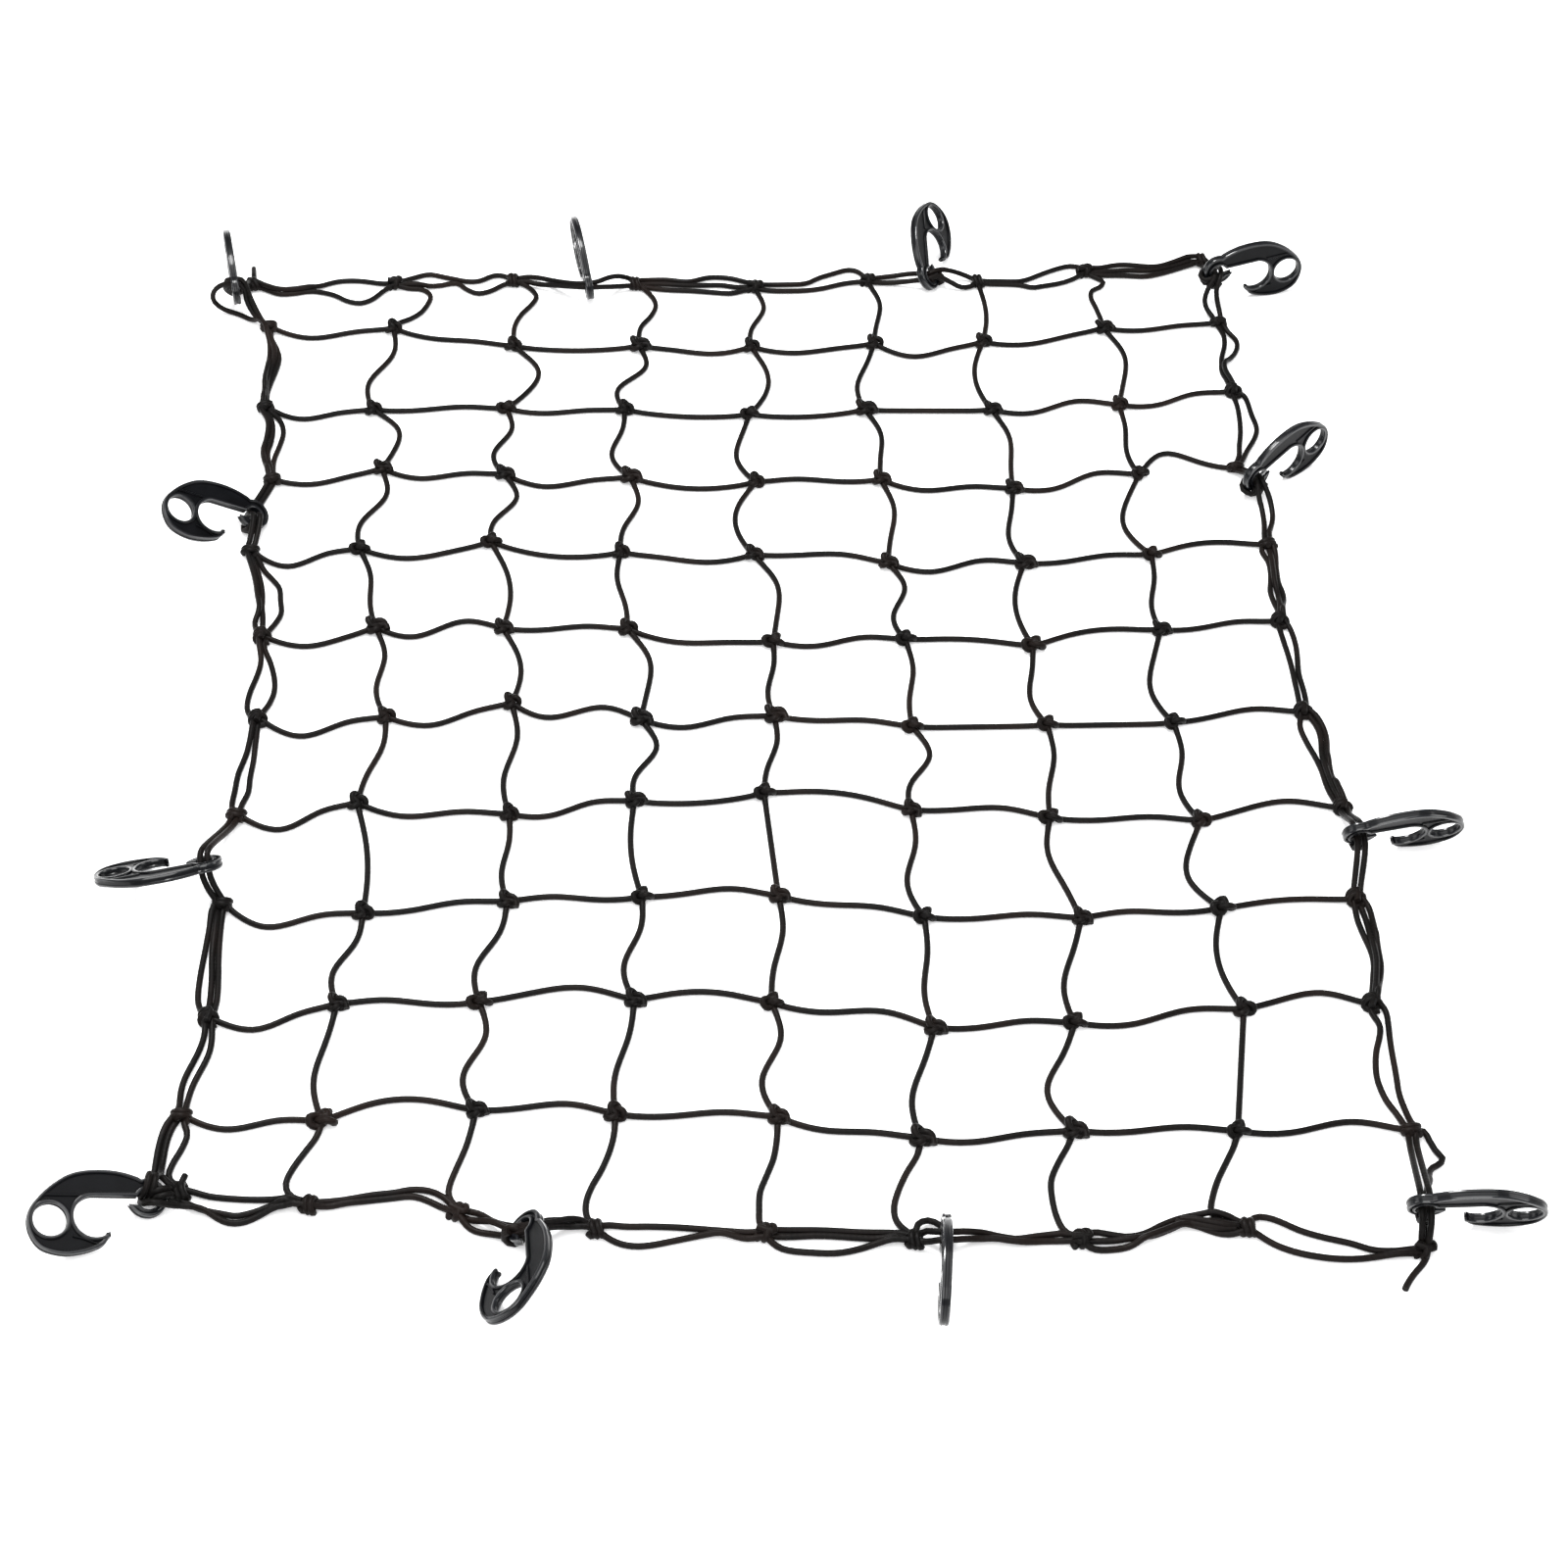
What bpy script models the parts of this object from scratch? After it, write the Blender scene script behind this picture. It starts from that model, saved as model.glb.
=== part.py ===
"""Knotted elastic cargo net with plastic hooks, lying loose on a floor.

Lengths are in millimetres here and become metres where the meshes are made.
"""
import bpy
import bmesh
from math import atan2, cos, pi, radians, sin
from mathutils import Vector
from mathutils.geometry import tessellate_polygon

for old in list(bpy.data.objects):
    bpy.data.objects.remove(old, do_unlink=True)

# ---------------------------------------------------------------- driving sizes
net_width, net_length = 900.0, 1200.0
drift_columns = ("left", "lane1", "lane2", "lane3", "lane4", "lane5", "lane6", "lane7", "right")
lanes, crossings = len(drift_columns), 12
pitch_x = net_width / (lanes - 1)
pitch_y = net_length / (crossings - 1)
cord_size = 4.5
half = cord_size / 2
clear = 0.45
knot_reach = 7.5
knot_height = 10.0
knot_inset = 3.0
beside = 6.3
corner_beside = 9.4

# Drift of each knot from the even grid: one row per crossing cord, far edge first, in drift_columns.
drift_x = (
    (-30, -7, -5, 1, 4, 2, -2, -8, -1),
    (-10, -4, -2, 4, -2, 3, -5, 1, 2),
    (-3, -16, -6, -9, -6, -11, -5, 3, 2),
    (12, -3, -5, -4, -3, -2, 5, 10, -12),
    (1, -16, -14, -12, -8, -2, 6, 8, 2),
    (21, 4, 0, -6, 6, 7, 4, 4, -2),
    (26, 19, 10, 5, 4, 6, 7, 1, 1),
    (18, 2, 12, 0, -7, -1, -1, 9, 16),
    (16, 14, 13, 6, 1, 2, 13, 13, 10),
    (17, 0, -5, 0, -8, 2, -3, 16, 4),
    (6, -3, -4, -14, -7, -15, -14, -5, 12),
    (13, -6, -13, -27, -19, -25, -19, -10, 2),
)
drift_y = (
    (-26, -22, -15, -19, -22, -9, -9, 10, 31),
    (12, 12, -15, -13, -13, -6, -2, 23, 33),
    (-6, -8, -5, -5, -11, -2, -1, 8, 30),
    (-6, 12, 5, 2, -4, 1, -11, 11, 21),
    (1, 6, 17, 3, 1, -10, -9, 4, 19),
    (-5, 9, 8, 8, -8, -4, -12, 10, 22),
    (-1, 3, 21, 1, 6, -7, -4, -1, 13),
    (-7, 8, -5, 11, 21, 1, -8, -11, 4),
    (1, -8, 5, 10, 11, -12, -13, -2, 8),
    (-11, 4, 6, 8, 5, -21, -16, -2, 3),
    (1, -4, 6, 2, -1, -22, -15, -16, -16),
    (38, 25, 18, 2, -2, -9, -9, 1, -20),
)

# Two letters a bay: how far the cord strays from the straight line at one third and at two thirds.
# o is none, a to h are 5 to 40 mm; small letters stray down or left, capitals up or right.
cross_bends = {
    1: "ca ao aa ab ba db ba ao", 2: "ca oA ao aa aa oo aB aA", 3: "ba bo ca bb Ao bo aB FC",
    4: "da cb bb ab AB bA oA BB", 5: "cb bB oA ba aA AA BB oA", 6: "da ca bB bo oA oo oo AB",
    7: "da bo aA aa BB AB oA BC", 8: "da oA Ao AB oA oA Ao AA", 9: "ca Ao BC BB oB oA aA BC",
    10: "bo CC AB oA ao ao oA oB",
}
long_bends = {
    1: "GE Ab DC Ba Ao Aa Ao AA ob ab bd", 2: "DA ED Ab Co BB BB Aa oa ob Ab oa",
    3: "DA Bb ac Bo ao CB Co aa ob oa oa", 4: "Bo CC bc cc CB oa Ao oo Ao Ab Aa",
    5: "BA ab BA BA Ba Ao Co ob oa ab bc", 6: "AA bb BA ab bb ab Ao ba ab bd cd",
    7: "oo CB oa cd oa bc ob cd bb oo cd",
}
edge_bends = {
    "far": {"inner": "ce oc oo bb ba oA bc bb", "outer": "bA Bo BA BC oC BD aA oA"},
    "near": {"inner": "oo BC ao oo oo Ao oB oo", "outer": "cb BC co ca cb Ao bA dc"},
    "left": {"inner": "ao BA CA AA DD BC AA dc oA Ao Ao", "outer": "hf Ao oa ob BA ob oa ed ab oa bc"},
    "right": {"inner": "oa oa AA BA oa oo ba Aa oA bc oA", "outer": "oA Co CD CC AA AA Ao BA BB Ao CB"},
}

# One row per hook: where its eye is, which way its shank points and leans, and the bay it hangs on.
# Steer turns the cords' way through the eye from square to the plate towards along the edge; lane is how
# far each cord runs from the middle of the eye.
hook_columns = ("eye_x", "eye_y", "heading", "pitch", "roll", "edge", "bay", "cords", "steer", "lane")
hook_rows = (
    (-491, 529, 101, 14, 88, "left", 0, "outer", 0.0, 4.65),
    (-157, 556, 102, 24, 84, "far", 2, "both", 0.2, 3.35),
    (174, 586, 93, 28, 48, "far", 5, "both", 0.4, 3.0),
    (453, 568, 14, 7, 88, "right", 0, "both", 0.2, 3.45),
    (450, 260, 37, 21, 90, "right", 3, "both", 0.4, 3.0),
    (466, -216, 4, 10, 112, "right", 7, "both", 0.3, 3.25),
    (452, -600, -6, 10, 110, "right", 10, "both", 0.3, 3.35),
    (108, -612, -95, 30, 90, "near", 5, "both", 0.2, 3.45),
    (-190, -605, -86, 16, 38, "near", 2, "both", 0.4, 3.0),
    (-458, -574, -167, 17, 157, "corner", 0, "outer", 0.3, 3.6),
    (-447, -250, -168, -4, 29, "left", 7, "both", 0.4, 3.0),
    (-449, 206, -167, 30, 157, "left", 3, "both", 0.1, 3.05),
)
hooks = [dict(zip(hook_columns, row)) for row in hook_rows]
turn_down = {("left", 0): (-500, 511)}

# ---------------------------------------------------------------- hook outline
hook_thick = 7.0
eye_x, eye_y, eye_hole, eye_ring = 14.0, -2.0, 7.3, 14.2
throat_x, throat_y, throat_radius = 52.0, -15.2, 15.2
finger_x, finger_y, finger_radius = 83.7, -17.9, 12.1
hook_back = ((24, 17.4), (38.5, 19), (50, 19.4), (61.5, 18.2), (70.8, 15.3), (79.2, 10.3), (86.9, 4),
             (93, -2.7), (97.7, -9.3), (100, -18), (98.6, -27.5), (93.5, -36.5), (85.4, -41.4),
             (73, -43.5), (60, -41.6), (49.2, -37.7), (44.0, -33.4), (41.2, -27.3), (42.3, -26.3))


def arc(cx, cy, radius, start, stop, count):
    """Points along a circle, both ends included, angles in degrees."""
    turn = [radians(start + (stop - start) * i / (count - 1)) for i in range(count)]
    return [(cx + radius * cos(t), cy + radius * sin(t)) for t in turn]


def hook_outline():
    """The plate's edge, walked from the back round the big end, throat and eye."""
    points = list(hook_back)
    points += arc(throat_x, throat_y, throat_radius, 236, 441, 10)
    points += [(22.0, 0.0)]
    points += arc(eye_x, eye_y, eye_hole, 30, 325, 10)
    points += [(27.7, -5.6)]
    points += arc(eye_x, eye_y + 1.5, eye_ring, 322, 72, 9)
    return points


def hook_frame(hook):
    """Shank, back and plate directions of a hook from its heading, pitch and roll."""
    heading, pitch, roll = (radians(hook[k]) for k in ("heading", "pitch", "roll"))
    shank = Vector((cos(heading) * cos(pitch), sin(heading) * cos(pitch), sin(pitch)))
    side = Vector((-sin(heading), cos(heading), 0.0))
    back = cos(roll) * side + sin(roll) * shank.cross(side)
    return shank, back, shank.cross(back)


def place_hook(hook):
    """Set the hook down so that its lowest edge just touches the floor."""
    shank, back, normal = hook_frame(hook)
    low = min((x - eye_x) * shank.z + (y - eye_y) * back.z for x, y in hook_outline())
    hook["eye"] = Vector((hook["eye_x"], hook["eye_y"], abs(normal.z) * hook_thick / 2 - low))


# ---------------------------------------------------------------- cord paths
def letter(mark):
    """Stray in millimetres that one letter stands for."""
    size = 5.0 * (" abcdefgh".index(mark.lower())) if mark != "o" else 0.0
    return size if mark.isupper() else -size


def bends(code):
    return [(letter(pair[0]), letter(pair[1])) for pair in code.split()]


def stray(first, second, s):
    """Smooth sideways stray: nothing at both ends, the read values at one and two thirds."""
    left_curl, right_curl = 54 * (second - 2 * first), 54 * (first - 2 * second)
    curls = (0.0, (4 * left_curl - right_curl) / 15, (4 * right_curl - left_curl) / 15, 0.0)
    heights = (0.0, first, second, 0.0)
    k = min(int(s * 3), 2)
    b = s * 3 - k
    a = 1 - b
    curl = (a ** 3 - a) * curls[k] + (b ** 3 - b) * curls[k + 1]
    return a * heights[k] + b * heights[k + 1] + curl / 54


def knot_place(row, lane):
    x = (lane - (lanes - 1) / 2) * pitch_x + drift_x[row][lane]
    y = ((crossings - 1) / 2 - row) * pitch_y + drift_y[row][lane]
    return Vector((x, y, half))


outward = {"far": Vector((0, 1, 0)), "near": Vector((0, -1, 0)), "left": Vector((-1, 0, 0)),
           "right": Vector((1, 0, 0)), "corner": Vector((-0.7, -0.7, 0))}


def edges_of(row, lane):
    found = [name for name, hit in (("far", row == 0), ("near", row == crossings - 1),
                                    ("left", lane == 0), ("right", lane == lanes - 1)) if hit]
    return found


def knot_outward(row, lane):
    total = Vector((0, 0, 0))
    for name in edges_of(row, lane):
        total += outward[name]
    return total.normalized() if total.length else total


def knot_centre(row, lane):
    """Knots on the edge sit a little inwards, so that the border cord runs past them."""
    return knot_place(row, lane) - knot_outward(row, lane) * knot_inset


def edge_knots(edge):
    """Knots along an edge: left to right, or far to near."""
    if edge in ("far", "near"):
        row = 0 if edge == "far" else crossings - 1
        return [(row, lane) for lane in range(lanes)]
    lane = 0 if edge == "left" else lanes - 1
    return [(row, lane) for row in range(crossings)]


def bay_axis(start, stop, edge):
    """Direction that capitals stray to, square to the cord: up for cross cords, right for long ones."""
    run = stop - start
    across = Vector((-run.y, run.x, 0)).normalized()
    wanted = Vector((0, 1, 0)) if edge in ("far", "near", "cross") else Vector((1, 0, 0))
    return across if across.dot(wanted) > 0 else -across


def sample_places(pair):
    """Straighter cords need fewer bends in the solid."""
    return (5 / 24, 0.5, 19 / 24) if max(abs(pair[0]), abs(pair[1])) > 5 else (1 / 3, 2 / 3)


def plain_path(start, stop, pair, edge, count):
    axis = bay_axis(start, stop, edge)
    out = []
    for i in range(count + 1):
        s = i / count
        out.append(start.lerp(stop, s) + axis * stray(pair[0], pair[1], s))
    return out


def hermite(p0, m0, p1, m1, s):
    a, b = 2 * s ** 3 - 3 * s ** 2 + 1, s ** 3 - 2 * s ** 2 + s
    c, d = -2 * s ** 3 + 3 * s ** 2, s ** 3 - s ** 2
    return p0 * a + m0 * b + p1 * c + m1 * d


def eye_path(start, stop, hook, lane_offset, count):
    """A cord from knot to knot that rises, goes through a hook's eye and comes down again."""
    shank, back, normal = hook_frame(hook)
    run = (stop - start).normalized()
    if normal.dot(run) < 0:
        normal = -normal
    through = (normal + run * hook["steer"]).normalized()
    apart = outward[hook["edge"]]
    apart = (apart - through * apart.dot(through)).normalized()
    middle = hook["eye"] + apart * lane_offset
    near_side, far_side = middle - through * 7.0, middle + through * 7.0
    pull_in, pull_out = near_side - start, stop - far_side
    lead_in, lead_out = min(24.0, pull_in.length * 0.8), min(24.0, pull_out.length * 0.8)
    leave = (pull_in.normalized() + run).normalized() * pull_in.length * 0.6
    late = 0.25 if lane_offset > 0 and pull_out.length < 45 else 0.6
    arrive = (pull_out.normalized() + run).normalized() * pull_out.length * late
    leave.z = arrive.z = 0.0
    points = [hermite(start, leave, near_side, through * lead_in, i / count) for i in range(count + 1)]
    points += [hermite(far_side, through * lead_out, stop, arrive, i / count) for i in range(count + 1)]
    for p in points:
        p.z = max(p.z, half)
    return points


for each in hooks:
    place_hook(each)
hook_at = {(h["edge"], h["bay"]): h for h in hooks}


def cut_ends(points, reach):
    """Drop what lies inside the knots at both ends."""
    first, last = points[0], points[-1]
    kept = [p for p in points[1:-1] if (p - first).length > reach + 2 and (p - last).length > reach + 2]
    return kept


# ---------------------------------------------------------------- the knotted mesh
class Knot:
    """A tied crossing: ports where the cords leave and a ridged lump on top."""

    def __init__(self, centre, seed):
        self.centre = centre
        self.seed = seed
        self.ports = []

    def add(self, towards):
        d = towards - self.centre
        self.ports.append([atan2(d.y, d.x), None])
        return len(self.ports) - 1

    def spread(self):
        """Keep neighbouring ports wide enough apart that their cords don't touch."""
        least = radians(42)
        for _ in range(60):
            order = sorted(range(len(self.ports)), key=lambda i: self.ports[i][0])
            for a, b in zip(order, order[1:] + order[:1]):
                space = (self.ports[b][0] - self.ports[a][0]) % (2 * pi)
                if len(order) > 1 and space < least:
                    self.ports[a][0] -= (least - space) / 2
                    self.ports[b][0] += (least - space) / 2

    def build(self, bm):
        self.spread()
        for port in self.ports:
            port[0] %= 2 * pi
        order = sorted(range(len(self.ports)), key=lambda i: self.ports[i][0])
        ring = []
        for n, index in enumerate(order):
            angle = self.ports[index][0]
            d = Vector((cos(angle), sin(angle), 0))
            side = Vector((-d.y, d.x, 0))
            mouth = self.centre + d * knot_reach
            ring.append((mouth - side * half, index, "right"))
            ring.append((mouth + side * half, index, "left"))
            following = self.ports[order[(n + 1) % len(order)]][0]
            space = (following - angle) % (2 * pi) or 2 * pi
            extra = int(space / radians(95))
            for k in range(extra):
                turn = angle + space * (k + 1) / (extra + 1)
                ring.append((self.centre + Vector((cos(turn), sin(turn), 0)) * (knot_reach + 0.1), None, ""))
        self.ring = [p for p, _, _ in ring]
        low = [bm.verts.new((p.x, p.y, 0.0)) for p, _, _ in ring]
        mid = [bm.verts.new((p.x, p.y, cord_size)) for p, _, _ in ring]
        top = []
        for j, (p, _, _) in enumerate(ring):
            inward = self.centre + (p - self.centre) * (0.74 if (j + self.seed) % 2 else 0.6)
            height = knot_height - (0.6 if (j + self.seed) % 2 else 1.9)
            top.append(bm.verts.new((inward.x, inward.y, height)))
        peak = bm.verts.new((self.centre.x, self.centre.y, knot_height - 1.1))
        bm.faces.new(list(reversed(low)))
        size = len(ring)
        mouths = {}
        for j in range(size):
            k = (j + 1) % size
            bm.faces.new((mid[j], mid[k], top[k], top[j]))
            bm.faces.new((top[j], top[k], peak))
            if ring[j][2] == "right" and ring[k][1] == ring[j][1]:
                mouths[ring[j][1]] = (low[j], low[k], mid[k], mid[j])
            else:
                bm.faces.new((low[j], low[k], mid[k], mid[j]))
        for index, quad in mouths.items():
            self.ports[index][1] = quad


def section(bm, centre, along):
    """Four corners of the cord's square section, right and left below, left and right above."""
    side = Vector((-along.y, along.x, 0.0)).normalized()
    up = along.cross(side).normalized()
    corners = ((-1, -1), (1, -1), (1, 1), (-1, 1))
    return [bm.verts.new(centre + side * (a * half) + up * (b * half)) for a, b in corners]


def skin(bm, first, second):
    for j in range(4):
        k = (j + 1) % 4
        bm.faces.new((first[j], second[j], second[k], first[k]))


def strand(bm, knot_a, port_a, knot_b, port_b, inner_points):
    """Join two knots' mouths with a cord through the given points."""
    right_a, left_a, left_top_a, right_top_a = knot_a.ports[port_a][1]
    first = [right_a, left_a, left_top_a, right_top_a]
    right_b, left_b, left_top_b, right_top_b = knot_b.ports[port_b][1]
    last = [left_b, right_b, right_top_b, left_top_b]
    start = sum((v.co for v in first), Vector()) / 4
    stop = sum((v.co for v in last), Vector()) / 4
    chain = [start] + inner_points + [stop]
    rings = [first]
    for n in range(1, len(chain) - 1):
        along = (chain[n + 1] - chain[n]).normalized() + (chain[n] - chain[n - 1]).normalized()
        rings.append(section(bm, chain[n], along.normalized()))
    rings.append(last)
    for a, b in zip(rings, rings[1:]):
        skin(bm, a, b)


knots = {(r, c): Knot(knot_centre(r, c), r + c) for r in range(crossings) for c in range(lanes)}


def build_net():
    bm = bmesh.new()
    strands = []

    def lay(a, b, pair, edge, bay):
        start, stop = knots[a].centre, knots[b].centre
        hook = hook_at.get((edge, bay))
        if hook and hook["cords"] == "both":
            points = eye_path(start, stop, hook, -hook["lane"], 5)
            inner = cut_ends(points, knot_reach + 1)
        else:
            points = plain_path(start, stop, pair, edge, 24)
            inner = [points[round(24 * s)] for s in sample_places(pair)]
        port_a = knots[a].add(points[2])
        port_b = knots[b].add(points[-3])
        strands.append((a, port_a, b, port_b, inner))

    for row, code in cross_bends.items():
        for bay, pair in enumerate(bends(code)):
            lay((row, bay), (row, bay + 1), pair, "cross", bay)
    for lane, code in long_bends.items():
        for bay, pair in enumerate(bends(code)):
            lay((bay, lane), (bay + 1, lane), pair, "long", bay)
    for edge, codes in edge_bends.items():
        row_knots = edge_knots(edge)
        for bay, pair in enumerate(bends(codes["inner"])):
            lay(row_knots[bay], row_knots[bay + 1], pair, edge, bay)
    for knot in knots.values():
        knot.build(bm)
    for a, port_a, b, port_b, inner in strands:
        strand(bm, knots[a], port_a, knots[b], port_b, inner)
    return bm


# ---------------------------------------------------------------- the border cord
def pass_by(key):
    """Where the border cord runs past an edge knot, just clear of it."""
    push = knot_outward(*key)
    reach = max(p.dot(push) for p in knots[key].ring) - knot_place(*key).dot(push)
    corner = 5.5 if len(edges_of(*key)) == 2 else 0.0
    return knot_place(*key) + push * (reach + half + clear + 1.0 + corner)


def along_line(level, s):
    """Value at s of a line through given places."""
    for (s0, v0), (s1, v1) in zip(level, level[1:]):
        if s <= s1:
            return v0 + (v1 - v0) * (s - s0) / (s1 - s0)
    return level[-1][1]


def edge_stretch(edge, first, last):
    """Centre line of the border cord along one edge, knot by knot, both corners included."""
    row_knots = edge_knots(edge)
    inner, outer = bends(edge_bends[edge]["inner"]), bends(edge_bends[edge]["outer"])
    out = []
    for bay in range(len(row_knots) - 1):
        a, b = knot_place(*row_knots[bay]), knot_place(*row_knots[bay + 1])
        axis = bay_axis(a, b, edge)
        sign = 1 if axis.dot(outward[edge]) > 0 else -1
        start, stop = pass_by(row_knots[bay]), pass_by(row_knots[bay + 1])
        hook = hook_at.get((edge, bay))
        if hook:
            out.append(start)
            if (edge, bay) in turn_down:
                stop = Vector((*turn_down[(edge, bay)], half))
                out += eye_path(start + (stop - start).normalized() * 9, stop, hook, hook["lane"], 5)
                continue
            run = (b - a).normalized()
            before = run * min(9.0, 0.22 * abs((hook["eye"] - start).dot(run)))
            after = run * min(9.0, 0.22 * abs((stop - hook["eye"]).dot(run)))
            out += eye_path(start + before, stop - after, hook, hook["lane"], 5)
            continue
        out.append(start)
        places = sample_places(inner[bay])
        values = [stray(*inner[bay], s) * sign - knot_inset for s in places]
        level = [(0.0, -knot_inset)] + list(zip(places, values)) + [(1.0, -knot_inset)]
        for s in (0.09, *places, 0.91):
            own = stray(*outer[bay], s) * sign
            least = along_line(level, s) + beside
            if s in (0.09, 0.91):
                least = corner_beside if (bay, s) in ((0, 0.09), (len(row_knots) - 2, 0.91)) else beside
            out.append(a.lerp(b, s) + axis * sign * max(own, least))
    out.append(pass_by(row_knots[-1]))
    return out[first:len(out) - last]


def build_border():
    """One cord tied round the net: it starts and ends at the near right corner, one end left loose."""
    far, right = edge_stretch("far", 0, 0), edge_stretch("right", 0, 0)
    near, left = edge_stretch("near", 2, 1), edge_stretch("left", 0, 2)
    corner = pass_by((crossings - 1, lanes - 1))
    tail = [corner + Vector(step) for step in ((-23, -32, 0), (-16, -21, 0), (-5, -9, 0))]
    turn = hook_at[("corner", 0)]
    around = eye_path(left[-1], near[0], turn, turn["lane"], 6)[1:-1]
    near.reverse()
    run = tail + list(reversed(right))[:-1] + list(reversed(far))[:-1] + left
    run += around + list(reversed(near))
    run = run[:-1] + [corner + Vector((-13, 0, 0))]
    bm = bmesh.new()
    count = len(run)
    rings = []
    for n in range(count):
        ahead = run[min(n + 1, count - 1)] - run[min(n, count - 2)]
        behind = run[max(n, 1)] - run[max(n - 1, 0)]
        rings.append(section(bm, run[n], (ahead.normalized() + behind.normalized()).normalized()))
    for first, second in zip(rings, rings[1:]):
        skin(bm, first, second)
    bm.faces.new(rings[0])
    bm.faces.new(list(reversed(rings[-1])))
    return bm


# ---------------------------------------------------------------- the hooks
def build_hook(hook):
    shank, back, normal = hook_frame(hook)
    outline = hook_outline()
    finger = arc(finger_x, finger_y, finger_radius, 0, 330, 12)
    bm = bmesh.new()

    def corner(point, lift):
        x, y = point
        return hook["eye"] + shank * (x - eye_x) + back * (y - eye_y) + normal * lift

    loops = (outline, finger)
    flat = [Vector((x, y, 0)) for loop in loops for x, y in loop]
    low = [bm.verts.new(corner((p.x, p.y), -hook_thick / 2)) for p in flat]
    high = [bm.verts.new(corner((p.x, p.y), hook_thick / 2)) for p in flat]
    for a, b, c in tessellate_polygon([[Vector((x, y, 0)) for x, y in loop] for loop in loops]):
        bm.faces.new((high[a], high[b], high[c]))
        bm.faces.new((low[c], low[b], low[a]))
    start = 0
    for loop in loops:
        size = len(loop)
        for j in range(size):
            a, b = start + j, start + (j + 1) % size
            bm.faces.new((low[a], low[b], high[b], high[a]))
        start += size
    return bm


# ---------------------------------------------------------------- finish
def material(name, colour, roughness):
    made = bpy.data.materials.new(name)
    made.use_nodes = True
    shader = made.node_tree.nodes["Principled BSDF"]
    shader.inputs["Base Color"].default_value = (*colour, 1)
    shader.inputs["Roughness"].default_value = roughness
    return made


pieces = [("net_mesh", build_net(), "cord"), ("border_cord", build_border(), "cord")]
pieces += [("hook_%02d" % (n + 1), build_hook(h), "hook") for n, h in enumerate(hooks)]
looks = {"cord": material("elastic_cord", (0.018, 0.016, 0.015), 0.75),
         "hook": material("moulded_plastic", (0.012, 0.014, 0.018), 0.38)}

spots = [v.co for _, bm, _ in pieces for v in bm.verts]
middle_x = (min(p.x for p in spots) + max(p.x for p in spots)) / 2
middle_y = (min(p.y for p in spots) + max(p.y for p in spots)) / 2
print("frame shift in mm", round(middle_x, 2), round(middle_y, 2))

for name, bm, look in pieces:
    bmesh.ops.recalc_face_normals(bm, faces=bm.faces)
    bmesh.ops.triangulate(bm, faces=bm.faces)
    for v in bm.verts:
        v.co = Vector((v.co.x - middle_x, v.co.y - middle_y, v.co.z)) * 0.001
    mesh = bpy.data.meshes.new(name)
    bm.to_mesh(mesh)
    bm.free()
    mesh.materials.append(looks[look])
    bpy.context.scene.collection.objects.link(bpy.data.objects.new(name, mesh))
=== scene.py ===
# Knotted elastic cargo net with twelve plastic hooks, spread loose on a pale floor
import bpy
import bmesh
import random
from math import atan2, cos, hypot, pi, radians, sin
from mathutils import Matrix, Vector
from mathutils.geometry import tessellate_polygon


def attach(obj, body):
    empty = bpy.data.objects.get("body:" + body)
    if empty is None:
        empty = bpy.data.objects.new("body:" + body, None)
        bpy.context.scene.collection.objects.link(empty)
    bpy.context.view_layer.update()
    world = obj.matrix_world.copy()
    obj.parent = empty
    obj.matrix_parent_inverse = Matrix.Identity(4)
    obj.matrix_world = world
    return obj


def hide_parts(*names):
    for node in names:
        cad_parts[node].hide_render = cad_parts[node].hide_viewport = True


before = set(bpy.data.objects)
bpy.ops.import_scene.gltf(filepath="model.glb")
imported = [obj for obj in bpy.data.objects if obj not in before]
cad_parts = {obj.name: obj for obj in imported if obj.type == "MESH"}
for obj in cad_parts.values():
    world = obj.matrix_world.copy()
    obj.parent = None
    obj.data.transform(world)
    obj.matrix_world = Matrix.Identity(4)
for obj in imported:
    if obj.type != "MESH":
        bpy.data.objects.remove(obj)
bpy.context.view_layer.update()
print("frame loaded")

middle = Vector((7.63, -13.37, 0))      # the solids' middle, in the net's own millimetres
netSizes = {"width": 900.0, "length": 1200.0, "lanes": 9, "crossings": 12,
            "cordSize": 5.0, "knotInset": 3.0, "besideGap": 5.0, "knotRise": 1.7, "riseReach": 16.0}
lanes, crossings = netSizes["lanes"], netSizes["crossings"]
pitchX = netSizes["width"] / (lanes - 1)
pitchY = netSizes["length"] / (crossings - 1)
half = netSizes["cordSize"] / 2

# how far each knot lies from the even grid: a row per crossing cord, far edge first
driftX = (
    (-30, -7, -5, 1, 4, 2, -2, -8, -1), (-10, -4, -2, 4, -2, 3, -5, 1, 2),
    (-3, -16, -6, -9, -6, -11, -5, 3, 2), (12, -3, -5, -4, -3, -2, 5, 10, -12),
    (1, -16, -14, -12, -8, -2, 6, 8, 2), (21, 4, 0, -6, 6, 7, 4, 4, -2),
    (26, 19, 10, 5, 4, 6, 7, 1, 1), (18, 2, 12, 0, -7, -1, -1, 9, 16),
    (16, 14, 13, 6, 1, 2, 13, 13, 10), (17, 0, -5, 0, -8, 2, -3, 16, 4),
    (6, -3, -4, -14, -7, -15, -14, -5, 12), (13, -6, -13, -27, -19, -25, -19, -10, 2))
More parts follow.
